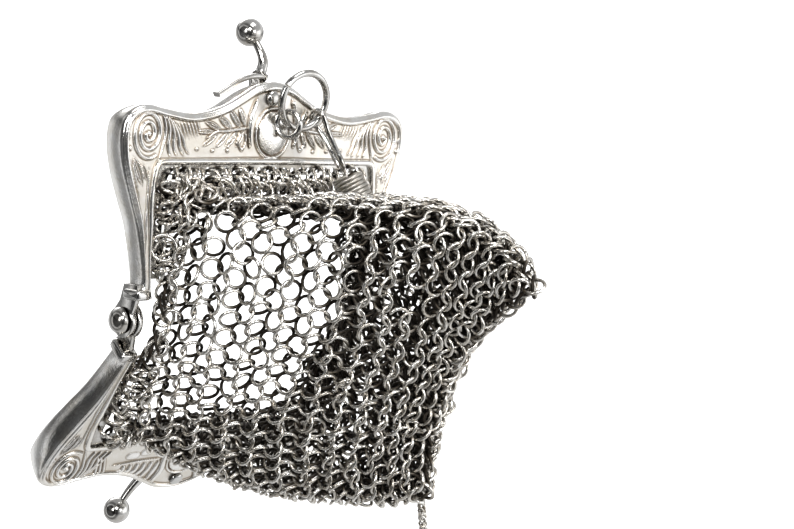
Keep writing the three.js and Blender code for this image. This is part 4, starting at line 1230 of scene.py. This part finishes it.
def ring_places():
    """Centre, normal, outward direction and row of every ring of the bag, one row after another."""
    fine = np.linspace(0, 1, 1441)
    crowding = np.array(RING_CROWDING)
    skew = np.array(ROW_SKEW)
    wanted = np.interp(fine, crowding[:, 0], crowding[:, 1])
    centres, normals, outwards, rows = [], [], [], []

    def row_depth(around, reach):
        return reach * np.interp(around % 1.0, skew[:, 0], skew[:, 1])

    def on_row(around, reach):
        return bag_point(around, row_depth(around, reach))

    for row in range(RING_ROWS):
        reach = 0.012 + ROW_STEP * (row + 0.5)
        step = np.linalg.norm(np.diff(on_row(fine, reach), axis=0), axis=1)
        run = np.concatenate([[0], np.cumsum(step / wanted[:-1])])
        count = int(round(run[-1]))
        spread = run[-1] / count
        anchor = np.interp(0.45, fine, run)
        loose = RANDOM.normal(0, 0.03, count)
        goal = anchor + (np.arange(count) + 0.5 * (row % 2) + loose) * spread
        around = np.interp(goal % run[-1], run, fine)
        around = around[row_depth(around, reach) < 0.985]
        depth = row_depth(around, reach)
        count = len(around)
        pitch = np.interp(around, fine, wanted) * spread
        here = bag_point(around, depth)
        along_row = unit(on_row(around + 0.002, reach) - on_row(around - 0.002, reach))
        down = unit(bag_point(around, depth + 0.01) - bag_point(around, depth - 0.01))
        outward = unit(np.cross(along_row, down))
        down = np.cross(outward, along_row)
        sign = 1.0 if row % 2 == 0 else -1.0
        crumpled = np.exp(-(((around - 0.37) / 0.045) ** 2) - (((depth - 0.06) / 0.10) ** 2))
        lean = RING_LEAN + RANDOM.normal(0, math.radians(4), count)
        lean = lean + crumpled * RANDOM.normal(0, math.radians(35), count)
        plane_down = np.cos(lean)[:, None] * down + sign * np.sin(lean)[:, None] * outward
        normal = np.cross(along_row, plane_down)
        stack = np.arcsin(np.clip((RING_WIRE * 1.1) / pitch, 0, 0.6)) * np.clip((3.6 - pitch) / 0.8, 0, 1)
        stack = stack + RANDOM.normal(0, math.radians(3), count)
        normal = np.cos(stack)[:, None] * normal - sign * np.sin(stack)[:, None] * along_row
        drift = RANDOM.normal(0, 0.06, (count, 3)) * (1 + 6 * crumpled[:, None])
        centres.append(here + drift)
        normals.append(unit(normal))
        outwards.append(outward)
        rows.append(np.full(count, row))
    return [np.concatenate(values) for values in (centres, normals, outwards, rows)]


def lip_rings():
    """Rings that pass through the holes of both lips and hang towards the bag."""
    bar, leg = lip_holes()
    centres, normals, outwards = [], [], []
    for upper in (True, False):
        holes = [(u, v, 0.0, -1.0) for u, v in bar]
        holes += [(side * u, v, -side, 0.0) for side in (1, -1) for u, v in leg]
        for u, v, inward_u, inward_v in holes:
            level = face_level(v) - LIP_DROP - LIP_THICKNESS / 2
            hole = half_point(u, v, level, upper)
            out = half_point(u, v, level + 1.0, upper) - hole
            inward = half_point(u + inward_u, v + inward_v, level, upper) - hole
            across = np.cross(inward, out)
            swing = math.radians(28) + RANDOM.normal(0, math.radians(9))
            sway = RANDOM.normal(0, math.radians(14))
            heading = unit(math.cos(swing) * inward + math.sin(swing) * out)
            heading = unit(math.cos(sway) * heading + math.sin(sway) * across)
            tilt = RANDOM.normal(0, 0.22) * unit(np.cross(across, heading))
            centres.append(hole + heading * RING_RADIUS)
            normals.append(unit(across - heading * across.dot(heading) + tilt))
            beyond = unit(heading + 0.5 * out + RANDOM.normal(0, 0.25) * across)
            centres.append(hole + heading * RING_RADIUS * 1.25 + beyond * RING_RADIUS * 0.75 + across * 0.6)
            normals.append(unit(beyond + 0.9 * across + RANDOM.normal(0, 0.5, 3)))
            outwards += [out, out]
    return np.array(centres), np.array(normals), np.array(outwards)


def heaped_rings():
    """Crumpled rings that lie on one another by the near corner of the mouth."""
    around = RANDOM.uniform(0.325, 0.425, HEAP_COUNT)
    depth = RANDOM.uniform(0.015, 0.11, HEAP_COUNT)
    places = bag_point(around, depth)
    along_row = unit(bag_point(around + 0.004, depth) - bag_point(around - 0.004, depth))
    down = unit(bag_point(around, depth + 0.01) - places)
    outward = unit(np.cross(along_row, down))
    normals = outward * RANDOM.uniform(-0.5, 0.9, (HEAP_COUNT, 1))
    normals = unit(normals + RANDOM.normal(0, 0.6, (HEAP_COUNT, 3)))
    return places + outward * RANDOM.uniform(0.2, 1.5, (HEAP_COUNT, 1)), normals, outward


def ring_pairs(centres):
    """Rings that lie close enough to touch."""
    reach = 2 * RING_RADIUS + RING_WIRE
    order = np.argsort(centres[:, 1])
    placed = centres[order]
    first, second = [], []
    for k, place in enumerate(placed[:-1]):
        stop = np.searchsorted(placed[:, 1], place[1] + reach)
        near = np.flatnonzero(np.linalg.norm(placed[k + 1 : stop] - place, axis=1) < reach) + k + 1
        first.append(np.full(len(near), order[k]))
        second.append(order[near])
    return np.concatenate(first), np.concatenate(second)


def settle(centres, normals, first, second, freedom, steps):
    """Pushes ring wires apart where they cut into each other, while each ring keeps near its place."""
    freedom = freedom[:, None]
    home, rest = centres.copy(), normals.copy()
    one = np.concatenate([first, second])
    two = np.concatenate([second, first])
    turn = around_circle(18)[None, :, None]
    count = len(centres)

    def summed(values):
        return np.stack([np.bincount(one, values[:, k], count) for k in range(3)], -1)

    for _ in range(steps):
        side, other = ring_axes(normals)
        spokes = RING_RADIUS * (np.cos(turn) * side[:, None] + np.sin(turn) * other[:, None])
        arm = spokes[one]
        point = centres[one][:, None] + arm
        apart = point - centres[two][:, None]
        rise = np.einsum("pkc,pc->pk", apart, normals[two])[..., None]
        flat = apart - rise * normals[two][:, None]
        nearest = unit(flat) * RING_RADIUS
        gap = apart - nearest
        distance = np.linalg.norm(gap, axis=2)
        overlap = np.clip(RING_WIRE * 1.04 - distance, 0, None)
        push = gap / np.maximum(distance, 1e-6)[..., None] * overlap[..., None]
        weight = overlap / np.maximum(overlap.sum(1, keepdims=True), 1e-9)
        push = push * weight[..., None] * 2.0
        twist = summed(np.cross(arm, push).sum(1) / RING_RADIUS**2)
        centres = centres + 0.30 * freedom * summed(push.sum(1))
        normals = unit(normals + 0.45 * freedom * np.cross(twist, normals))
        centres += 0.04 * (home - centres)
        normals = unit(normals + 0.02 * rest)
    return centres, normals


def tear_places():
    """Middle of the torn place, and the directions ahead along the bag, beside it and out of it."""
    around, depth = TEAR
    torn = bag_spot(around, depth)
    beside = unit(bag_spot(around + 0.01, depth) - torn)
    ahead = unit(bag_spot(around, depth + 0.01) - torn)
    return torn, ahead, beside, unit(np.cross(beside, ahead))


def build_mesh_bag(materials):
    centres, normals, outwards, rows = ring_places()
    for more, more_normals, more_outwards in (lip_rings(), heaped_rings()):
        centres = np.concatenate([centres, more])
        normals = np.concatenate([normals, more_normals])
        outwards = np.concatenate([outwards, more_outwards])
        rows = np.concatenate([rows, np.full(len(more), -1)])
    first, second = ring_pairs(centres)
    stiff = np.where(rows < 0, 0.25, 1.0)
    centres, normals = settle(centres, normals, first, second, stiff, 70)
    torn, ahead, beside, out = tear_places()
    from_tear = centres - torn
    share = np.hypot(from_tear @ ahead / TEAR_HALF_SIZE[0], from_tear @ beside / TEAR_HALF_SIZE[1])
    keep = (share > 1) | (np.abs(from_tear @ out) > 4)
    tones = np.clip(RANDOM.normal(0.58, 0.20, len(centres)), 0, 1)
    groups = np.array_split(np.arange(RING_ROWS), 4) + [[-1]]
    names = ("by_mouth", "before_middle", "past_middle", "by_seam", "on_the_lips")
    for name, chosen_rows in zip(names, groups):
        chosen = keep & np.isin(rows, chosen_rows)
        points, faces, wear_and_painted_shade = ring_mesh(centres[chosen], normals[chosen], RING_RADIUS, RING_WIRE / 2,
                                        RING_SEGMENTS, WIRE_SIDES, outwards[chosen])
        tone = np.repeat(tones[chosen], RING_SEGMENTS * WIRE_SIDES)
        piece = make_object("ring_mesh_" + name, points, faces, materials["ring"],
                            attributes={"tone": tone, "wear_and_painted_shade": wear_and_painted_shade})
        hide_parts("mesh_bag")
    build_odd_rings(materials)


def build_odd_rings(materials):
    """Broken and loose rings: two at the torn place, one at the bottom edge, a large one by the corner."""
    torn, ahead, beside, out = tear_places()
    near = bag_spot(0.47, 0.05)
    edge_place = bag_spot(0.555, 0.93)
    centres = [
        torn + 0.3 * ahead + 3.1 * beside + 0.5 * out,
        torn - 3.3 * ahead - 0.6 * beside + 0.4 * out,
        edge_place + 1.4 * out + np.array([0, 0, -1.2]),
        near + np.array([-1.3, -0.9, 0.0]),
    ]
    normals = [out + 0.4 * ahead, ahead + 0.5 * out, out + 0.7 * beside, np.array([-0.75, -0.6, 0.2])]
    radii = [RING_RADIUS, RING_RADIUS, RING_RADIUS * 0.9, RING_RADIUS * 1.22]
    gaps = [1.9, 0.5, 1.1, 0.06]
    points, faces, _ = ring_mesh(np.array(centres), np.array(normals), np.array(radii), RING_WIRE / 2, 26, 8,
                                 gaps=gaps)
    piece = make_object("ring_mesh_broken_rings", points, faces, materials["ring"],
                        attributes={"tone": np.full(len(points), 0.75), "wear_and_painted_shade": np.full(len(points), 0.9)})
    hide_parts("mesh_bag")


# Stage


def make_camera():
    azimuth, elevation, roll = CAMERA_AZIMUTH, CAMERA_ELEVATION, CAMERA_ROLL
    back = np.array([math.sin(azimuth) * math.cos(elevation), -math.cos(azimuth) * math.cos(elevation),
                     math.sin(elevation)])
    level = np.array([math.cos(azimuth), math.sin(azimuth), 0.0])
    upright = np.cross(back, level)
    right = math.cos(roll) * level + math.sin(roll) * upright
    up = math.cos(roll) * upright - math.sin(roll) * level
    place = CAMERA_DISTANCE * back - CAMERA_SHIFT_RIGHT * right - CAMERA_SHIFT_UP * up
    data = bpy.data.cameras.new("camera")
    data.sensor_width = SENSOR_WIDTH
    data.lens = FOCAL_LENGTH
    data.clip_start = 0.01
    camera = bpy.data.objects.new("camera", data)
    matrix = np.eye(4)
    matrix[:3, :3] = np.stack([right, up, back], axis=1)
    matrix[:3, 3] = place * MM
    camera.matrix_world = Matrix(matrix.tolist())
    bpy.context.scene.collection.objects.link(camera)
    bpy.context.scene.camera = camera


def area_light(name, place, size, power):
    data = bpy.data.lights.new(name, "AREA")
    data.shape = "RECTANGLE"
    data.size, data.size_y = size
    data.energy = power
    light = bpy.data.objects.new(name, data)
    light.location = Vector(place)
    light.rotation_euler = (Vector(LIT_PLACE) - Vector(place)).to_track_quat("-Z", "Y").to_euler()
    bpy.context.scene.collection.objects.link(light)


def toward(tree, direction, axis):
    """How far a direction points along an axis, from 0, straight against it, to 1, straight along it."""
    node = add(tree, "ShaderNodeVectorMath", operation="DOT_PRODUCT")
    tree.links.new(direction, node.inputs[0])
    node.inputs[1].default_value = tuple(Vector(axis).normalized())
    level = add(tree, "ShaderNodeMath", operation="MULTIPLY_ADD")
    tree.links.new(node.outputs["Value"], level.inputs[0])
    level.inputs[1].default_value = 0.5
    level.inputs[2].default_value = 0.5
    return level.outputs[0]


# Area lights, all aimed at one place: name, place, size and power in watts
LIT_PLACE = (0, -0.01, 0)
LIGHTS = [
    ("overhead", (0.05, -0.10, 0.75), (0.4, 0.25), 1.8),
    ("key", (-0.62, -0.62, 0.80), (0.26, 0.26), 6.0),
    ("left_front", (-0.85, -0.25, 0.35), (0.20, 0.40), 2.2),
    ("right_front", (0.05, -0.85, 0.50), (0.20, 0.30), 2.0),
    ("face_glow", (0.72, -0.75, 0.20), (0.9, 0.7), 1.8),
    ("behind", (0.3, 0.9, 0.30), (0.6, 0.3), 2.2),
]

# Brightness of the room by height, from its left to its right, and where the viewer stands: (place, grey)
SKY_BY_HEIGHT = [(0.05, 0.80), (0.25, 0.92), (0.40, 0.85), (0.46, 0.30), (0.51, 0.30),
                 (0.55, 0.90), (0.66, 0.90), (0.78, 0.58), (1.0, 0.45)]
SKY_FROM_LEFT = [(0.0, 0.14), (0.130, 0.05), (0.150, 1.0), (0.190, 1.0), (0.210, 0.22),
                 (0.32, 0.34), (0.40, 0.90), (0.60, 1.0), (1.0, 1.0)]
SKY_BY_VIEWER = [(0.84, 1.0), (0.92, 0.50), (0.965, 0.16), (1.0, 0.10)]


def make_studio():
    bpy.context.scene.view_settings.view_transform = "Standard"
    floor_level = -0.16
    bpy.ops.mesh.primitive_plane_add(size=12, location=(0, 0, floor_level))
    floor = bpy.context.object
    floor.name = "floor"
    material = bpy.data.materials.new("pale_floor")
    material.use_nodes = True
    shader = material.node_tree.nodes["Principled BSDF"]
    shader.inputs["Base Color"].default_value = (0.85, 0.85, 0.85, 1)
    shader.inputs["Roughness"].default_value = 0.9
    shader.inputs["Emission Color"].default_value = (1, 1, 1, 1)
    shader.inputs["Emission Strength"].default_value = 1.0
    floor.data.materials.append(material)
    floor.visible_glossy = False
    world = bpy.data.worlds.new("studio")
    world.use_nodes = True
    bpy.context.scene.world = world
    tree = world.node_tree
    place = add(tree, "ShaderNodeTexCoord").outputs["Generated"]
    sky = grey_ramp(tree, toward(tree, place, (0, 0, 1)), SKY_BY_HEIGHT)
    bands = grey_ramp(tree, toward(tree, place, (1, 0, 0)), SKY_FROM_LEFT)
    dim = grey_ramp(tree, toward(tree, place, (-0.62, -0.72, 0.30)), SKY_BY_VIEWER)
    lit = multiplied(tree, 1.0, multiplied(tree, 1.0, sky, bands), dim)
    tree.links.new(lit, tree.nodes["Background"].inputs["Color"])
    for light in LIGHTS:
        area_light(*light)


def main():
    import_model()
    make_camera()
    make_studio()
    materials = {"relief": relief_silver(), "polished": polished_silver(), "ring": ring_silver()}
    for upper in (True, False):
        build_frame(upper, materials)
        build_clasp(upper, materials)
    build_hinge_rivets(materials)
    build_jump_ring(materials)
    build_eye_link(materials)
    build_collar(materials)
    build_chain(materials)
    build_mesh_bag(materials)


main()
